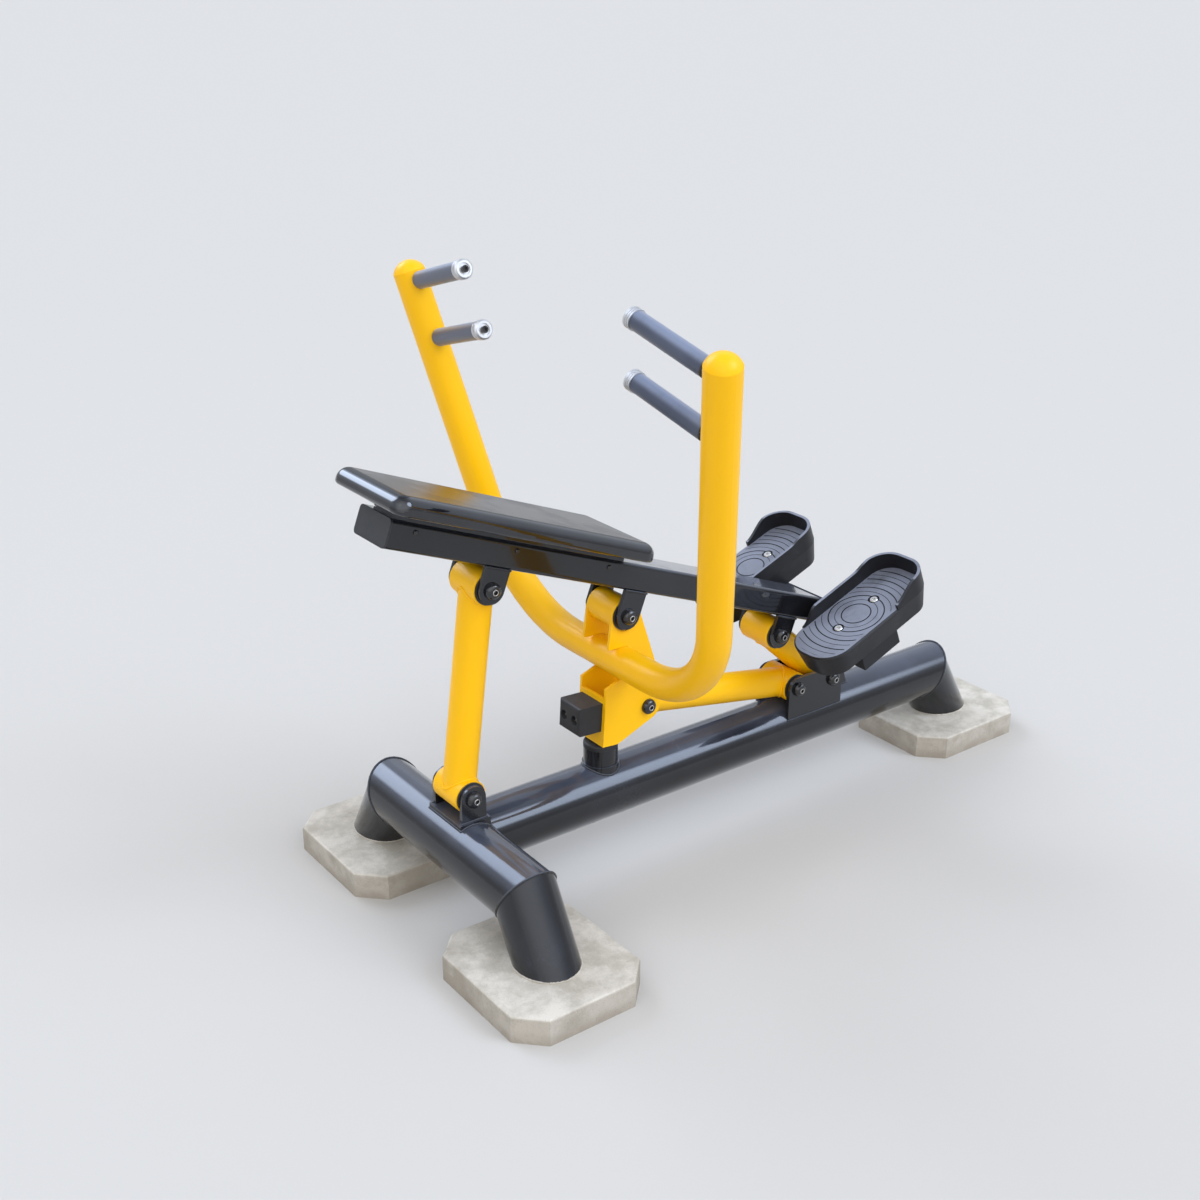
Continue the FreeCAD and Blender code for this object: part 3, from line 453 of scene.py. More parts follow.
@dataclass(frozen=True)
class GlossPanel(Finish):
    """A high-gloss panel with hair scratches, smears and a clear layer."""

    CLOUDS: ClassVar[Pattern] = Pattern(9.0, 5.0, 0.6)
    HAIRS: ClassVar[Pattern] = Pattern(260.0, 2.0, 0.6, (0.04, 1.0, 1.0))
    WAVES: ClassVar[Pattern] = Pattern(22.0)

    scratch: Colour = (0.06, 0.06, 0.066)
    dust_and_highlight: Colour = (0.1, 0.1, 0.11)
    smear_share: float = 0.06
    hair_share: float = 0.35
    roll_rough: float = 0.05
    top_rough: float = 0.26
    roll_coat: float = 1.0
    top_coat: float = 0.05
    coat_rough: float = 0.04
    shine: float = 0.3
    # Painted reflection colour: this bluish tint of the reflections stands in for the sky's colour.
    tint: Colour = (0.86, 0.92, 1.0)

    def paint(self, board: Board) -> None:
        """Add the panel's nodes to a board."""
        smears = board.span(board.noise(self.CLOUDS), 0.42, 0.72)
        hairs = board.span(board.noise(self.HAIRS), 0.66, 0.74)
        dusty = board.blend(board.share(smears, self.smear_share), self.base, self.dust_and_highlight)
        worn = board.upward(0.86, 0.93)
        rubbed = board.product(worn, board.span(smears, 0.0, 1.0, 0.7, 1.0))
        waves = board.relief(board.noise(self.WAVES), strength=0.05, distance=0.0008)
        board.set(Base_Color=board.blend(board.share(hairs, self.hair_share), dusty, self.scratch),
                  Normal=board.relief(hairs, strength=0.05, distance=0.0001, under=waves),
                  Roughness=board.span(rubbed, 0.0, 1.0, self.roll_rough, self.top_rough),
                  Coat_Weight=board.span(worn, 0.0, 1.0, self.roll_coat, self.top_coat),
                  Coat_Roughness=self.coat_rough, Specular_IOR_Level=self.shine,
                  Specular_Tint=(*self.tint, 1.0))


@dataclass(frozen=True)
class TurnedMetal(Finish):
    """Bare metal with fine tool marks and dull spots."""

    SPOTS: ClassVar[Pattern] = Pattern(120.0, 4.0, 0.65)
    MARKS: ClassVar[Pattern] = Pattern(1500.0, 2.0, 0.5, (1.0, 0.08, 1.0))

    tarnish: Colour = (0.3, 0.29, 0.27)
    tarnish_share: float = 0.35
    smooth: float = 0.22
    dull: float = 0.42

    def paint(self, board: Board) -> None:
        """Add the metal's nodes to a board."""
        spots = board.span(board.noise(self.SPOTS), 0.5, 0.75)
        board.set(Base_Color=board.blend(board.share(spots, self.tarnish_share), self.base, self.tarnish),
                  Normal=board.relief(board.noise(self.MARKS), strength=0.12, distance=0.0001),
                  Roughness=board.span(spots, 0.0, 1.0, self.smooth, self.dull), Metallic=1.0)


class Palette(Enum):
    """Every finish on the machine."""

    BLACK = PowderCoat(Slot.BLACK_COAT, (0.008, 0.008, 0.0095))
    YELLOW = PowderCoat(Slot.YELLOW_COAT, (0.94, 0.495, 0.0), dust_and_highlight=(0.8, 0.48, 0.04), dust_and_highlight_amount=0.06,
                        splashed=0.0, smooth=0.36, dull=0.48, peel=0.14, shine=0.32, tint=(1.0, 0.9, 0.7),
                        gloss_layer=0.06, gloss_rough=0.2)
    CONCRETE = CastConcrete(Slot.CONCRETE, (0.437, 0.395, 0.325))
    SEAT = GlossPanel(Slot.SEAT_GLOSS, (0.006, 0.006, 0.008))
    # Painted highlight: the grips' pale blue tone on what faces up stands in for the sky's reflection.
    GRIP = Moulding(Slot.GRIP_RUBBER, (0.042, 0.052, 0.085), dust_and_highlight=(0.27, 0.32, 0.45), dust_and_highlight_amount=0.5,
                    smooth=0.32, dull=0.44, grain_scale=1500.0, sheen=0.3, gloss_layer=0.2)
    BUFFER = Moulding(Slot.BUFFER_RUBBER, (0.016, 0.016, 0.017), smooth=0.55, dull=0.72, grain_scale=800.0)
    # Partly painted highlight: the treads' pale bluish tone is partly wear and dust and partly the sky's
    # reflection.
    PEDAL = TreadMoulding(Slot.PEDAL_PLASTIC, (0.011, 0.011, 0.013), dust_and_highlight=(0.36, 0.385, 0.47), dust_and_highlight_amount=0.5,
                          film_share=0.022, scuff_share=0.058, smooth=0.38, dull=0.52, shine=0.28)
    PLUG = Moulding(Slot.PLUG_PLASTIC, (0.024, 0.025, 0.028), smooth=0.45, dull=0.6)
    CAP = Moulding(Slot.CAP_BLACK, (0.009, 0.009, 0.01), smooth=0.16, dull=0.28, dust_and_highlight_amount=0.06, grain=0.08,
                   gloss_layer=0.4)
    STEEL = TurnedMetal(Slot.BARE_STEEL, (0.58, 0.57, 0.55))
    COLLAR = TurnedMetal(Slot.COLLAR_METAL, (0.66, 0.66, 0.67), tarnish=(0.4, 0.4, 0.41), smooth=0.42,
                         dull=0.58)
    NYLON = Moulding(Slot.BUSH_NYLON, (0.024, 0.024, 0.025))


Wear = dict[Palette, tuple[str, ...]]


class Tree(ABC):
    """A Geometry Nodes tree with named inputs, run on a host mesh and turned into a plain mesh."""

    title: str = "tree"

    def __init__(self) -> None:
        """Build the tree with its group input, named inputs and output."""
        self.group = bpy.data.node_groups.new(self.title, "GeometryNodeTree")
        self.keys: dict[str, str] = {}
        self.group.interface.new_socket("Geometry", in_out="OUTPUT", socket_type="NodeSocketGeometry")
        self.group.interface.new_socket("Geometry", in_out="INPUT", socket_type="NodeSocketGeometry")
        self.declare("Finish", "NodeSocketMaterial")
        self.sizes()
        self.source = self.group.nodes.new("NodeGroupInput")
        realize = self.add("GeometryNodeRealizeInstances", Geometry=self.instances())
        smooth = self.add("GeometryNodeSetShadeSmooth", Geometry=realize.outputs["Geometry"])
        painted = self.add("GeometryNodeSetMaterial", Geometry=smooth.outputs["Geometry"],
                           Material=self.source.outputs["Finish"])
        self.add("NodeGroupOutput", Geometry=painted.outputs["Geometry"])

    @abstractmethod
    def sizes(self) -> None:
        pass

    @abstractmethod
    def instances(self) -> Socket:
        """Add the nodes that place the instances, and give their socket."""

    def declare(self, name: str, kind: str) -> None:
        """Add a named input of a socket kind."""
        self.keys[name] = self.group.interface.new_socket(name, in_out="INPUT", socket_type=kind).identifier

    def add(self, kind: str, **values: object) -> bpy.types.Node:
        """Add a node to the tree and fill its inputs."""
        return add_node(self.group, kind, **values)

    def grow(self, name: str, host: bpy.types.Mesh, finish: Palette, **sizes: float) -> Piece:
        """Run the tree on a host mesh.

        Args:
            name: The new piece's name.
            host: The mesh that the tree starts from.
            finish: The piece's finish.
            sizes: A value for each of the tree's named sizes.

        Returns:
            A plain mesh object at the origin.
        """
        carrier = bpy.data.objects.new(name + "_host", host)
        bpy.context.scene.collection.objects.link(carrier)
        modifier = carrier.modifiers.new(self.title, "NODES")
        modifier.node_group = self.group
        modifier[self.keys["Finish"]] = finish.value.material()
        for title, value in sizes.items():
            modifier[self.keys[title]] = value
        bpy.context.view_layer.update()
        evaluated = carrier.evaluated_get(bpy.context.evaluated_depsgraph_get())
        mesh = bpy.data.meshes.new_from_object(evaluated)
        carrier.modifiers.clear()
        bpy.data.objects.remove(carrier)
        mesh.name = name
        piece = bpy.data.objects.new(name, mesh)
        bpy.context.scene.collection.objects.link(piece)
        return piece


class BeadTree(Tree):
    """A row of rounded drops along each path of edges, such as a weld or a bead of mortar."""

    title = "bead_along_path"
    segments = 8
    rings = 6
    seed = 7

    def sizes(self) -> None:
        for name in ("Radius", "Step", "Ripple"):
            self.declare(name, "NodeSocketFloat")

    def instances(self) -> Socket:
        """Place drops along the paths, each a little different."""
        sized = self.source.outputs
        path = self.add("GeometryNodeMeshToCurve", Mesh=sized["Geometry"])
        points = self.group.nodes.new("GeometryNodeCurveToPoints")
        points.mode = "LENGTH"
        self.group.links.new(path.outputs["Curve"], points.inputs["Curve"])
        self.group.links.new(sized["Step"], points.inputs["Length"])
        drop = self.add("GeometryNodeMeshUVSphere", Segments=self.segments, Rings=self.rings,
                        Radius=sized["Radius"])
        least = self.group.nodes.new("ShaderNodeMath")
        least.operation = "SUBTRACT"
        least.inputs[0].default_value = 1.0
        self.group.links.new(sized["Ripple"], least.inputs[1])
        chance = self.group.nodes.new("FunctionNodeRandomValue")
        chance.data_type = "FLOAT"
        low, high = [socket for socket in chance.inputs if socket.type == "VALUE"][:2]
        self.group.links.new(least.outputs["Value"], low)
        high.default_value = 1.0
        chance.inputs["Seed"].default_value = self.seed
        size = [socket for socket in chance.outputs if socket.type == "VALUE"][0]
        placed = self.add("GeometryNodeInstanceOnPoints", Points=points.outputs["Points"],
                          Instance=drop.outputs["Mesh"], Scale=size)
        return placed.outputs["Instances"]


class RingTree(Tree):
    """A round wire ring at each vertex, square to the vertex's stored aim."""

    title = "ring_on_points"
    ring_points = 24
    wire_points = 8

    def sizes(self) -> None:
        self.declare("Radius", "NodeSocketFloat")
        self.declare("Wire", "NodeSocketFloat")

    def instances(self) -> Socket:
        """Place rings at the vertices."""
        sized = self.source.outputs
        points = self.add("GeometryNodeMeshToPoints", Mesh=sized["Geometry"])
        circle = "GeometryNodeCurvePrimitiveCircle"
        ring = self.add(circle, Resolution=self.ring_points, Radius=sized["Radius"])
        wire = self.add(circle, Resolution=self.wire_points, Radius=sized["Wire"])
        band = self.add("GeometryNodeCurveToMesh", Curve=ring.outputs["Curve"],
                        Profile_Curve=wire.outputs["Curve"])
        aim = self.add("GeometryNodeInputNamedAttribute", Name="aim")
        aim.data_type = "FLOAT_VECTOR"
        turn = self.add("FunctionNodeAlignRotationToVector", Vector=aim.outputs["Attribute"])
        turn.axis = "Z"
        placed = self.add("GeometryNodeInstanceOnPoints", Points=points.outputs["Points"],
                          Instance=band.outputs["Mesh"], Rotation=turn.outputs["Rotation"])
        return placed.outputs["Instances"]


@dataclass
class Path:
    """A line of points that a bead follows."""

    points: list[Point]
    closed: bool = False


def path_mesh(name: str, paths: Iterable[Path]) -> bpy.types.Mesh:
    """A mesh of edges along some paths.

    Args:
        name: The mesh's name.
        paths: The paths.

    Returns:
        The mesh, with no faces.
    """
    points: list[Point] = []
    edges: list[tuple[int, int]] = []
    for path in paths:
        first = len(points)
        points.extend(path.points)
        last = len(points) - 1
        edges.extend((index, index + 1) for index in range(first, last))
        if path.closed:
            edges.append((last, first))
    mesh = bpy.data.meshes.new(name)
    mesh.from_pydata(points, edges, [])
    return mesh


def aimed_mesh(name: str, places: Sequence[tuple[Point, Point]]) -> bpy.types.Mesh:
    """A mesh of loose vertices, each with the direction that its instance faces.

    Args:
        name: The mesh's name.
        places: Points and directions.

    Returns:
        The mesh, with an aim on each vertex.
    """
    mesh = bpy.data.meshes.new(name)
    mesh.from_pydata([place for place, _ in places], [], [])
    aim = mesh.attributes.new("aim", "FLOAT_VECTOR", "POINT")
    for index, (_, direction) in enumerate(places):
        aim.data[index].vector = direction
    return mesh


def round_path(count: int, point: Callable[[float], Point]) -> Path:
    """A closed path of points at even angles, from a function of the angle."""
    return Path([point(2 * math.pi * index / count) for index in range(count)], closed=True)


def arc_path(count: int, start: float, end: float, point: Callable[[float], Point]) -> Path:
    """An open path of points at even angles between two angles in degrees."""
    step = (end - start) / (count - 1)
    return Path([point(math.radians(start + step * index)) for index in range(count)])


def leg_paths(front: Callable[[float], Point], rear: Callable[[float], Point]) -> list[Path]:
    """Closed paths round the front leg, the left rear leg and the right one, its mirror image."""
    left = round_path(TUBE_SEAM_POINTS, rear)
    right = Path([(x, -y, z) for x, y, z in left.points], closed=True)
    return [round_path(TUBE_SEAM_POINTS, front), left, right]


def ahead(distance: float) -> float:
    """The X of a point that lies a distance ahead of the rear cross tube's axis."""
    return REAR_AXIS_X + distance


def on_plane(place: Flat) -> Vector:
    """The point of the middle plane with an X and Z."""
    return Vector((place[0], 0, place[1]))


def joint_point(name: str) -> Flat:
    """The X and Z of a joint's axis."""
    place = next(joint["pos_m"] for joint in frame["joints"] if joint["name"] == name)
    return (place[0], place[2])


@dataclass
class SubAssembly(ABC):
    """A group of CAD nodes on one body, with the pieces that dress it."""

    WELD_STEP: ClassVar[float] = 0.8
    WELD_RIPPLE: ClassVar[float] = 0.14

    body: str = "frame"
    weld_r: float = 0.003

    @abstractmethod
    def finishes(self) -> Wear:
        """The CAD nodes that take each finish."""

    @abstractmethod
    def build(self, beads: BeadTree, rings: RingTree) -> list[Piece]:
        """Make this group's own pieces, each riding on its body."""

    def dress(self) -> None:
        """Give every CAD node its finish."""
        for finish, names in self.finishes().items():
            for name in names:
                mesh = frame["nodes"][name].data
                mesh.materials.clear()
                mesh.materials.append(finish.value.material())
                log.info("%s wears %s", name, finish.value.slot.value)

    def keep(self, piece: Piece, finish: Palette) -> Piece:
        """Let a piece ride on this group's body."""
        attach(piece, self.body)
        log.info("%s made, %d faces", piece.name, len(piece.data.polygons))
        return piece

    def weld(self, beads: BeadTree, name: str, paths: list[Path], finish: Palette) -> Piece:
        """A weld bead along some paths.

        Args:
            beads: The tree that makes it.
            name: The piece's name.
            paths: Where it runs.
            finish: Its finish.

        Returns:
            The new piece.
        """
        host = path_mesh(name, paths)
        bead = beads.grow(name, host, finish, Radius=self.weld_r, Step=self.weld_r * self.WELD_STEP,
                          Ripple=self.WELD_RIPPLE)
        return self.keep(bead, finish)

    def cap_rings(self, rings: RingTree, name: str, pivots: Sequence[Flat], face: float) -> Piece:
        """The bright rims of the sockets in the caps of some pivots.

        Args:
            rings: The tree that makes them.
            name: The piece's name.
            pivots: The pivots' X and Z.
            face: How far the faces under the caps are from the middle plane.

        Returns:
            The new piece.
        """
        tip = face + PIVOT.cap_height
        places = [((x, side.value * tip, z), (0.0, side.value, 0.0)) for x, z in pivots for side in Side]
        host = aimed_mesh(name, places)
        rims = rings.grow(name, host, Palette.STEEL, Radius=PIVOT.socket_r, Wire=PIVOT.socket_wire_r)
        return self.keep(rims, Palette.STEEL)


@dataclass
class PivotSizes:
    """The sizes that every pivot shares."""

    sleeve_r: float = 0.03075
    tube_r: float = 0.03015
    clevis_face: float = 0.049
    cheek_face: float = 0.040
    cap_height: float = 0.011
    eye_r: float = 0.025
    socket_r: float = 0.0049
    socket_wire_r: float = 0.0008


PIVOT = PivotSizes()


def saddle(foot: Flat, head: Flat) -> Path:
    """The seam where a link's tube meets the sleeve at its foot.

    Args:
        foot: The X and Z of the sleeve's axis.
        head: The X and Z of the other end's axis.

    Returns:
        A closed path round the tube.
    """
    start = on_plane(foot)
    along = (on_plane(head) - start).normalized()
    across = Vector((along.z, 0, -along.x))

    def point(angle: float) -> Point:
        """The seam's point at an angle round the tube."""
        offset = PIVOT.tube_r * math.cos(angle)
        reach = math.sqrt(PIVOT.sleeve_r ** 2 - offset ** 2)
        return tuple(start + along * reach + across * offset + Vector((0, PIVOT.tube_r * math.sin(angle), 0)))

    return round_path(SLEEVE_SEAM_POINTS, point)


@dataclass
class FixedFrame(SubAssembly):
    """The tubes, legs, plinths, brackets and stop that stand on the ground."""

    weld_r: float = 0.0026
    mortar_r: float = 0.0028
    mortar_step: float = 0.0016
    mortar_ripple: float = 0.35
    tube_r: float = 0.05715
    axis_height: float = 0.150
    cross_half: float = 0.218
    spine_length: float = 1.209
    splay: float = 30.0
    plinth_top: float = 0.050
    bracket_margin: float = 0.026
    clevis_half: float = 0.031
    clevis_depth: float = 0.053
    clevis_top: float = 0.21215
    stub_ahead: float = 0.319
    stub_r: float = 0.0355

    def finishes(self) -> Wear:
        """The CAD nodes that take each finish."""
        return {
            Palette.BLACK: ("rear_cross_tube", "spine_tube", "rear_leg_left", "rear_leg_right", "front_leg",
                            "stop_stub", "rear_clevis", "front_bracket_left", "front_bracket_right"),
            Palette.CONCRETE: ("plinth_rear_left", "plinth_rear_right", "plinth_front"),
            Palette.BUFFER: ("stop_buffer",),
            Palette.STEEL: ("frame_pivot_pins",),
            Palette.CAP: ("frame_pivot_caps",),
        }

    def on_tube(self, offset: float) -> float:
        """The height of a main tube's surface at a sideways offset from its axis."""
        return self.axis_height + math.sqrt(self.tube_r ** 2 - offset ** 2)

    def mitres(self) -> list[Path]:
        """The seams of the three bends."""
        slope = math.tan(math.radians((90 - self.splay) / 2))

        def bend(angle: float) -> tuple[float, float, float]:
            """The offset, the shift along the tube and the rise at an angle round the seam."""
            rise = self.tube_r * math.sin(angle)
            return self.tube_r * math.cos(angle), rise * slope, self.axis_height + rise

        def front(angle: float) -> Point:
            """A point of the front seam."""
            offset, shift, height = bend(angle)
            return (ahead(self.spine_length + shift), offset, height)

        def rear(angle: float) -> Point:
            """A point of the left rear seam."""
            offset, shift, height = bend(angle)
            return (ahead(offset), self.cross_half + shift, height)

        return leg_paths(front, rear)

    def junctions(self) -> list[Path]:
        """The seams of the spine, the rear clevis, the front bracket and the stop."""
        lie = self.on_tube

        def spine(angle: float) -> Point:
            """A point where the spine meets the cross tube."""
            offset = self.tube_r * math.cos(angle)
            return (ahead(abs(offset)), offset, self.axis_height + self.tube_r * math.sin(angle))

        def stub(angle: float) -> Point:
            """A point round the foot of the stop."""
            offset = self.stub_r * math.sin(angle)
            return (ahead(self.stub_ahead + self.stub_r * math.cos(angle)), offset, lie(offset))

        paths = [round_path(SPINE_SEAM_POINTS, spine), round_path(SLEEVE_SEAM_POINTS, stub)]
        pivot = joint_point("rear_link_hinge")
        heel = pivot[0] - self.clevis_half
        toe = pivot[0] + self.clevis_half
        arm = joint_point("arm_hinge")[0] - self.bracket_margin
        link = joint_point("front_link_hinge")[0] + self.bracket_margin
        back = lie(heel - ahead(0))
        paths.append(Path([(heel, -self.clevis_depth, back), (heel, self.clevis_depth, back)]))
        for side in Side:
            ear = side.value * PIVOT.clevis_face
            end = side.value * self.clevis_depth
            run = [heel + (toe - heel) * index / CLEVIS_SEAM_STEPS for index in range(CLEVIS_SEAM_STEPS + 1)]
            paths.append(Path([(x, end, lie(x - ahead(0))) for x in run]))
            paths.append(Path([(pivot[0] - PIVOT.eye_r, ear, self.clevis_top),
                               (pivot[0] + PIVOT.eye_r, ear, self.clevis_top)]))
            paths.append(Path([(arm, ear, lie(ear)), (link, ear, lie(ear))]))
        return paths

    def mortar(self) -> list[Path]:
        """Where each leg goes into its plinth."""
        slope = math.radians(self.splay)
        run = (self.axis_height - self.plinth_top) * math.tan(slope)
        long_r = self.tube_r / math.cos(slope)

        def front(angle: float) -> Point:
            """A point round the front leg."""
            return (ahead(self.spine_length + run + long_r * math.cos(angle)), self.tube_r * math.sin(angle),
                    self.plinth_top)

        def rear(angle: float) -> Point:
            """A point round the left rear leg."""
            return (ahead(self.tube_r * math.sin(angle)), self.cross_half + run + long_r * math.cos(angle),
                    self.plinth_top)

        return leg_paths(front, rear)

    def build(self, beads: BeadTree, rings: RingTree) -> list[Piece]:
        """Make the welds, the mortar beads and the cap rims."""
        mortar = beads.grow("mortar_beads", path_mesh("mortar_beads", self.mortar()), Palette.CONCRETE,
                            Radius=self.mortar_r, Step=self.mortar_step, Ripple=self.mortar_ripple)
        pivots = [joint_point(name) for name in ("rear_link_hinge", "front_link_hinge", "arm_hinge")]
        return [self.weld(beads, "frame_welds", self.mitres() + self.junctions(), Palette.BLACK),
                self.keep(mortar, Palette.CONCRETE),
                self.cap_rings(rings, "frame_cap_rims", pivots, PIVOT.clevis_face)]


@dataclass
class LinkBar(SubAssembly):
    """A yellow tube with a sleeve and bushes at each end."""

    foot: Flat = (0.0, 0.0)
    head: Flat = (0.0, 0.0)

    def finishes(self) -> Wear:
        """The CAD nodes that take each finish."""
        return {Palette.YELLOW: (self.body + "_tube", self.body + "_sleeves"),
                Palette.NYLON: (self.body + "_bushes",)}

    def build(self, beads: BeadTree, rings: RingTree) -> list[Piece]:
        """Make the welds at both sleeves."""
        seams = [saddle(self.foot, self.head), saddle(self.head, self.foot)]
        return [self.weld(beads, self.body + "_welds", seams, Palette.YELLOW)]


@dataclass
class SeatCarriage(SubAssembly):
    """The seat beam with its hangers, the spacer and the seat."""

    body: str = "seat_carriage"
    weld_r: float = 0.0022
    pivots: tuple[Flat, ...] = ()
    beam_offset: float = 0.039

    def finishes(self) -> Wear:
        """The CAD nodes that take each finish."""
        return {
            Palette.BLACK: ("seat_beam", "hanger_rear", "hanger_middle", "hanger_front", "seat_spacer"),
            Palette.SEAT: ("seat_panel",),
            Palette.PLUG: ("beam_plugs",),
            Palette.STEEL: ("beam_pivot_pins",),
            Palette.CAP: ("beam_pivot_caps", "seat_screws"),
        }

    def seams(self) -> list[Path]:
        """Where the hanger plates meet the underside of the beam."""
        rear = on_plane(self.pivots[0])
        along = (on_plane(self.pivots[-1]) - rear).normalized()
        up = Vector((-along.z, 0, along.x))
        paths = []
        for pivot in self.pivots:
            reach = (on_plane(pivot) - rear).dot(along)
            for side in Side:
                face = Vector((0, side.value * PIVOT.clevis_face, 0))
                middle = rear + along * reach + up * self.beam_offset + face
                paths.append(Path([tuple(middle + along * end * PIVOT.eye_r) for end in (-1, 1)]))
        return paths

    def build(self, beads: BeadTree, rings: RingTree) -> list[Piece]:
        """Make the hanger welds and the cap rims."""
        return [self.weld(beads, "hanger_welds", self.seams(), Palette.BLACK),
                self.cap_rings(rings, "beam_cap_rims", self.pivots, PIVOT.clevis_face)]


@dataclass
class HandleLever(SubAssembly):
    """The lever with its cheeks, the bent handle and the grips."""

    body: str = "handle_lever"
    hub: Flat = (0.0, 0.0)
    foot: Flat = (0.0, 0.0)
    handle_back: float = 0.006
    handle_below: float = 0.0915
    slot_half_angle: float = 68.0

    def finishes(self) -> Wear:
        """The CAD nodes that take each finish."""
        return {
            Palette.YELLOW: ("handle_tube", "handle_caps", "lever_cheek_left", "lever_cheek_right",
                             "lever_sleeve", "lever_back_plate"),
            Palette.BUFFER: ("bumper_block",),
            Palette.GRIP: ("grip_upper_left", "grip_upper_right", "grip_lower_left", "grip_lower_right"),
            Palette.COLLAR: ("grip_collars",),
            Palette.STEEL: ("grip_bars", "bumper_screws", "lever_pivot_pin"),
            Palette.CAP: ("lever_pivot_caps", "grip_screws"),
            Palette.NYLON: ("lever_bushes",),
        }

    def seams(self) -> list[Path]:
        """Where the handle's tube lies in the slots of the cheeks."""
        middle = (self.hub[0] - self.handle_back, self.hub[1] - self.handle_below)
        paths = []
        for side in Side:
            face = side.value * PIVOT.cheek_face

            def point(angle: float, face: float = face) -> Point:
                """A point of the seam on one cheek."""
                return (middle[0] + PIVOT.tube_r * math.cos(angle), face,
                        middle[1] + PIVOT.tube_r * math.sin(angle))

            paths.append(arc_path(SLOT_SEAM_POINTS, -self.slot_half_angle, self.slot_half_angle, point))
        return paths

    def build(self, beads: BeadTree, rings: RingTree) -> list[Piece]:
        """Make the cheek welds and the cap rims."""
        return [self.weld(beads, "lever_welds", self.seams(), Palette.YELLOW),
                self.cap_rings(rings, "lever_cap_rims", [self.foot], PIVOT.cheek_face)]


@dataclass
class PedalStand(SubAssembly):
    """The two foot pedals on their crossbar and post."""

    weld_r: float = 0.0022
    post_ahead: float = 0.934
    post_half_depth: float = 0.0105
    post_half_width: float = 0.022
    post_lean: float = -0.33

    def finishes(self) -> Wear:
        """The CAD nodes that take each finish."""
        return {
            Palette.PEDAL: ("pedal_left", "pedal_right", "pedal_blocks"),
            Palette.BLACK: ("pedal_post", "pedal_crossbar"),
            Palette.STEEL: ("pedal_screws",),
        }

    def seam(self) -> Path:
        """Where the leaning post stands on the spine."""
        spine = FixedFrame()
        crown = spine.on_tube(0)
        points = []
        for end in (1, -1):
            for index in range(POST_SEAM_POINTS):
                offset = end * self.post_half_width * (1 - 2 * index / (POST_SEAM_POINTS - 1))
                height = spine.on_tube(offset)
                shift = end * self.post_half_depth + (height - crown) * self.post_lean
                points.append((ahead(self.post_ahead + shift), offset, height))
        return Path(points, closed=True)

    def build(self, beads: BeadTree, rings: RingTree) -> list[Piece]:
        """Make the weld round the post's foot."""
        return [self.weld(beads, "pedal_post_welds", [self.seam()], Palette.BLACK)]


@dataclass(frozen=True)
class Glow:
    """A soft brightening of the air towards a direction, between two cosines of the angle from it."""

    direction: Point
    start: float
    end: float
    colour: Colour


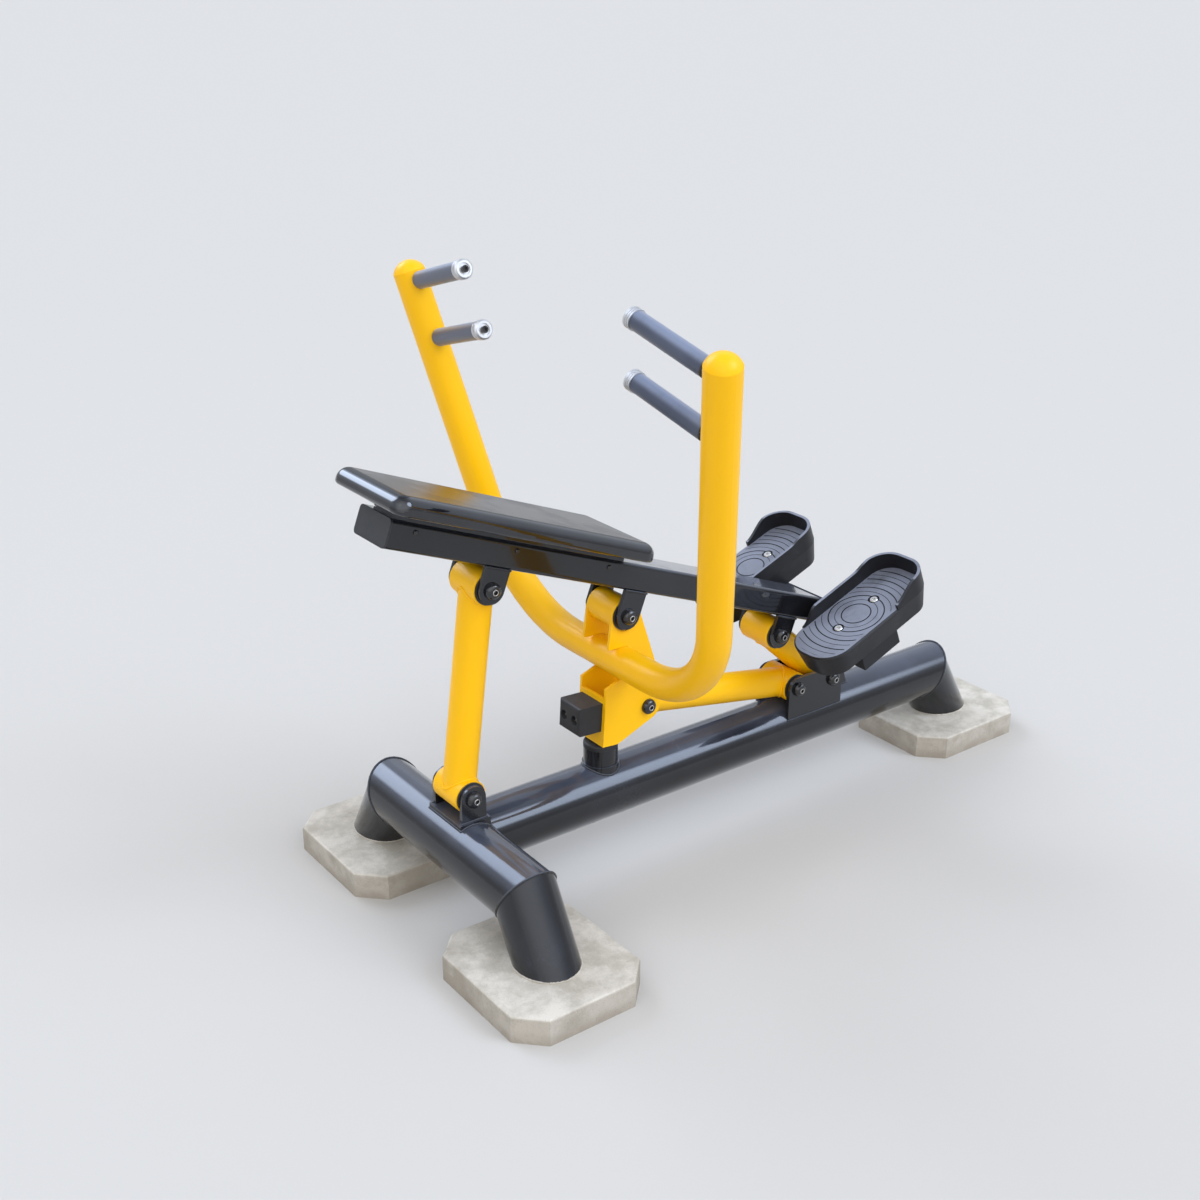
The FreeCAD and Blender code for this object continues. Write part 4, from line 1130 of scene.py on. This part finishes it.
@dataclass
class Studio:
    """A pale floor, soft air, one soft lamp and the camera."""

    floor_half: float = 120.0
    floor_colour: Colour = (0.54, 0.512, 0.47)
    air: tuple[tuple[float, Colour], ...] = ((0.0, (0.66, 0.67, 0.68)), (0.13, (0.46, 0.47, 0.49)),
                                             (0.42, (0.92, 0.99, 1.12)), (0.75, (0.82, 0.88, 1.0)),
                                             (1.0, (0.45, 0.48, 0.53)))
    glows: tuple[Glow, ...] = (Glow((-0.42, -0.7, 0.57), 0.45, 0.97, (0.85, 0.84, 0.83)),
                               Glow((0.47, -0.6, 0.645), 0.94, 0.98, (4.6, 5.35, 6.7)),
                               Glow((-0.15, 0.79, 0.58), 0.94, 0.98, (3.7, 4.3, 5.4)))
    lamp_place: Point = (-2.4, -0.4, 4.2)
    lamp_target: Point = (0.0, 0.0, 0.4)
    lamp_size: float = 3.6
    lamp_power: float = 8.0
    camera_place: Point = (-1.234132, -2.089832, 1.624633)
    camera_turn: Point = (67.348, 0.0, -36.597)
    sensor_width: float = 36.0
    lens: float = 46.77

    def floor(self) -> None:
        """Lay the floor."""
        half = self.floor_half
        mesh = bpy.data.meshes.new("floor")
        corners = [(-half, -half, 0), (half, -half, 0), (half, half, 0), (-half, half, 0)]
        mesh.from_pydata(corners, [], [(0, 1, 2, 3)])
        board = Board("floor_paint")
        board.set(Base_Color=(*self.floor_colour, 1.0), Roughness=1.0, Specular_IOR_Level=0.0)
        mesh.materials.append(board.material)
        floor = bpy.data.objects.new("floor", mesh)
        bpy.context.scene.collection.objects.link(floor)

    def lamp(self) -> None:
        """Hang the square soft lamp."""
        light = bpy.data.lights.new("key_lamp", "AREA")
        light.size = self.lamp_size
        light.energy = self.lamp_power
        lamp = bpy.data.objects.new("key_lamp", light)
        aim = Vector(self.lamp_target) - Vector(self.lamp_place)
        turn = aim.to_track_quat("-Z", "Y").to_matrix().to_4x4()
        lamp.matrix_world = Matrix.Translation(self.lamp_place) @ turn
        bpy.context.scene.collection.objects.link(lamp)

    def glow(self, tree: bpy.types.NodeTree, glow: Glow, place: Socket) -> Socket:
        """The light of one glow.

        Args:
            tree: The world's node tree.
            glow: The glow.
            place: The socket of the direction that is looked in.

        Returns:
            The socket of its light.
        """
        near = tree.nodes.new("ShaderNodeVectorMath")
        near.operation = "DOT_PRODUCT"
        near.inputs[1].default_value = Vector(glow.direction).normalized()
        tree.links.new(place, near.inputs[0])
        share = add_node(tree, "ShaderNodeMapRange", Value=near.outputs["Value"], From_Min=glow.start,
                         From_Max=glow.end)
        share.interpolation_type = "SMOOTHSTEP"
        light = add_node(tree, "ShaderNodeBackground", Color=(*glow.colour, 1.0),
                         Strength=share.outputs["Result"])
        return light.outputs["Background"]

    def sky(self) -> None:
        """Make plain soft air, brightest halfway up, with a few glows."""
        world = bpy.data.worlds.new("studio_air")
        bpy.context.scene.world = world
        world.use_nodes = True
        tree = world.node_tree
        tree.nodes.clear()
        place = tree.nodes.new("ShaderNodeTexCoord").outputs["Generated"]
        split = add_node(tree, "ShaderNodeSeparateXYZ", Vector=place)
        ramp = add_node(tree, "ShaderNodeValToRGB", Fac=split.outputs["Z"])
        stops = ramp.color_ramp.elements
        stops.remove(stops[0])
        stops[0].position, stops[0].color = self.air[0][0], (*self.air[0][1], 1.0)
        for height, colour in self.air[1:]:
            stops.new(height).color = (*colour, 1.0)
        light = add_node(tree, "ShaderNodeBackground", Color=ramp.outputs["Color"]).outputs["Background"]
        for glow in self.glows:
            total = tree.nodes.new("ShaderNodeAddShader")
            tree.links.new(light, total.inputs[0])
            tree.links.new(self.glow(tree, glow, place), total.inputs[1])
            light = total.outputs["Shader"]
        add_node(tree, "ShaderNodeOutputWorld", Surface=light)

    def camera(self) -> None:
        """Set the camera at the photograph's place."""
        data = bpy.data.cameras.new("camera")
        data.sensor_width = self.sensor_width
        data.lens = self.lens
        camera = bpy.data.objects.new("camera", data)
        camera.location = (ahead(self.camera_place[0]), self.camera_place[1], self.camera_place[2])
        camera.rotation_euler = [math.radians(turn) for turn in self.camera_turn]
        bpy.context.scene.collection.objects.link(camera)
        bpy.context.scene.camera = camera

    def build(self) -> None:
        """Lay the floor, make the air, hang the lamp and set the camera."""
        self.floor()
        self.sky()
        self.lamp()
        self.camera()
        bpy.context.scene.view_settings.view_transform = "Standard"


def box_centre(name: str) -> Flat:
    """The X and Z of the middle of a CAD node's box."""
    low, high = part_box(name)
    return ((low.x + high.x) / 2, (low.z + high.z) / 2)


def assemblies() -> list[SubAssembly]:
    """Every sub-assembly of the machine, from the ground up."""
    rear_foot = joint_point("rear_link_hinge")
    rear_top = joint_point("beam_hinge")
    hub = joint_point("lever_hinge")
    front_foot = joint_point("front_link_hinge")
    arm_foot = joint_point("arm_hinge")
    lever_foot = box_centre("lever_pivot_pin")
    low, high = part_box("front_link_sleeves")
    front_top = (low.x + PIVOT.sleeve_r, high.z - PIVOT.sleeve_r)
    return [
        FixedFrame(),
        LinkBar(body="rear_link", foot=rear_foot, head=rear_top),
        LinkBar(body="front_link", foot=front_foot, head=front_top),
        LinkBar(body="arm", foot=arm_foot, head=lever_foot),
        SeatCarriage(pivots=(rear_top, hub, front_top)),
        HandleLever(hub=hub, foot=lever_foot),
        PedalStand(),
    ]


def main() -> None:
    """Dress the machine, build its own pieces and the studio."""
    logging.basicConfig(level=logging.INFO, format="%(name)s: %(message)s")
    beads = BeadTree()
    rings = RingTree()
    for assembly in assemblies():
        assembly.dress()
        made = assembly.build(beads, rings)
        log.info("%s has %d pieces of its own", type(assembly).__name__, len(made))
    Studio().build()


if __name__ == "__main__":
    main()
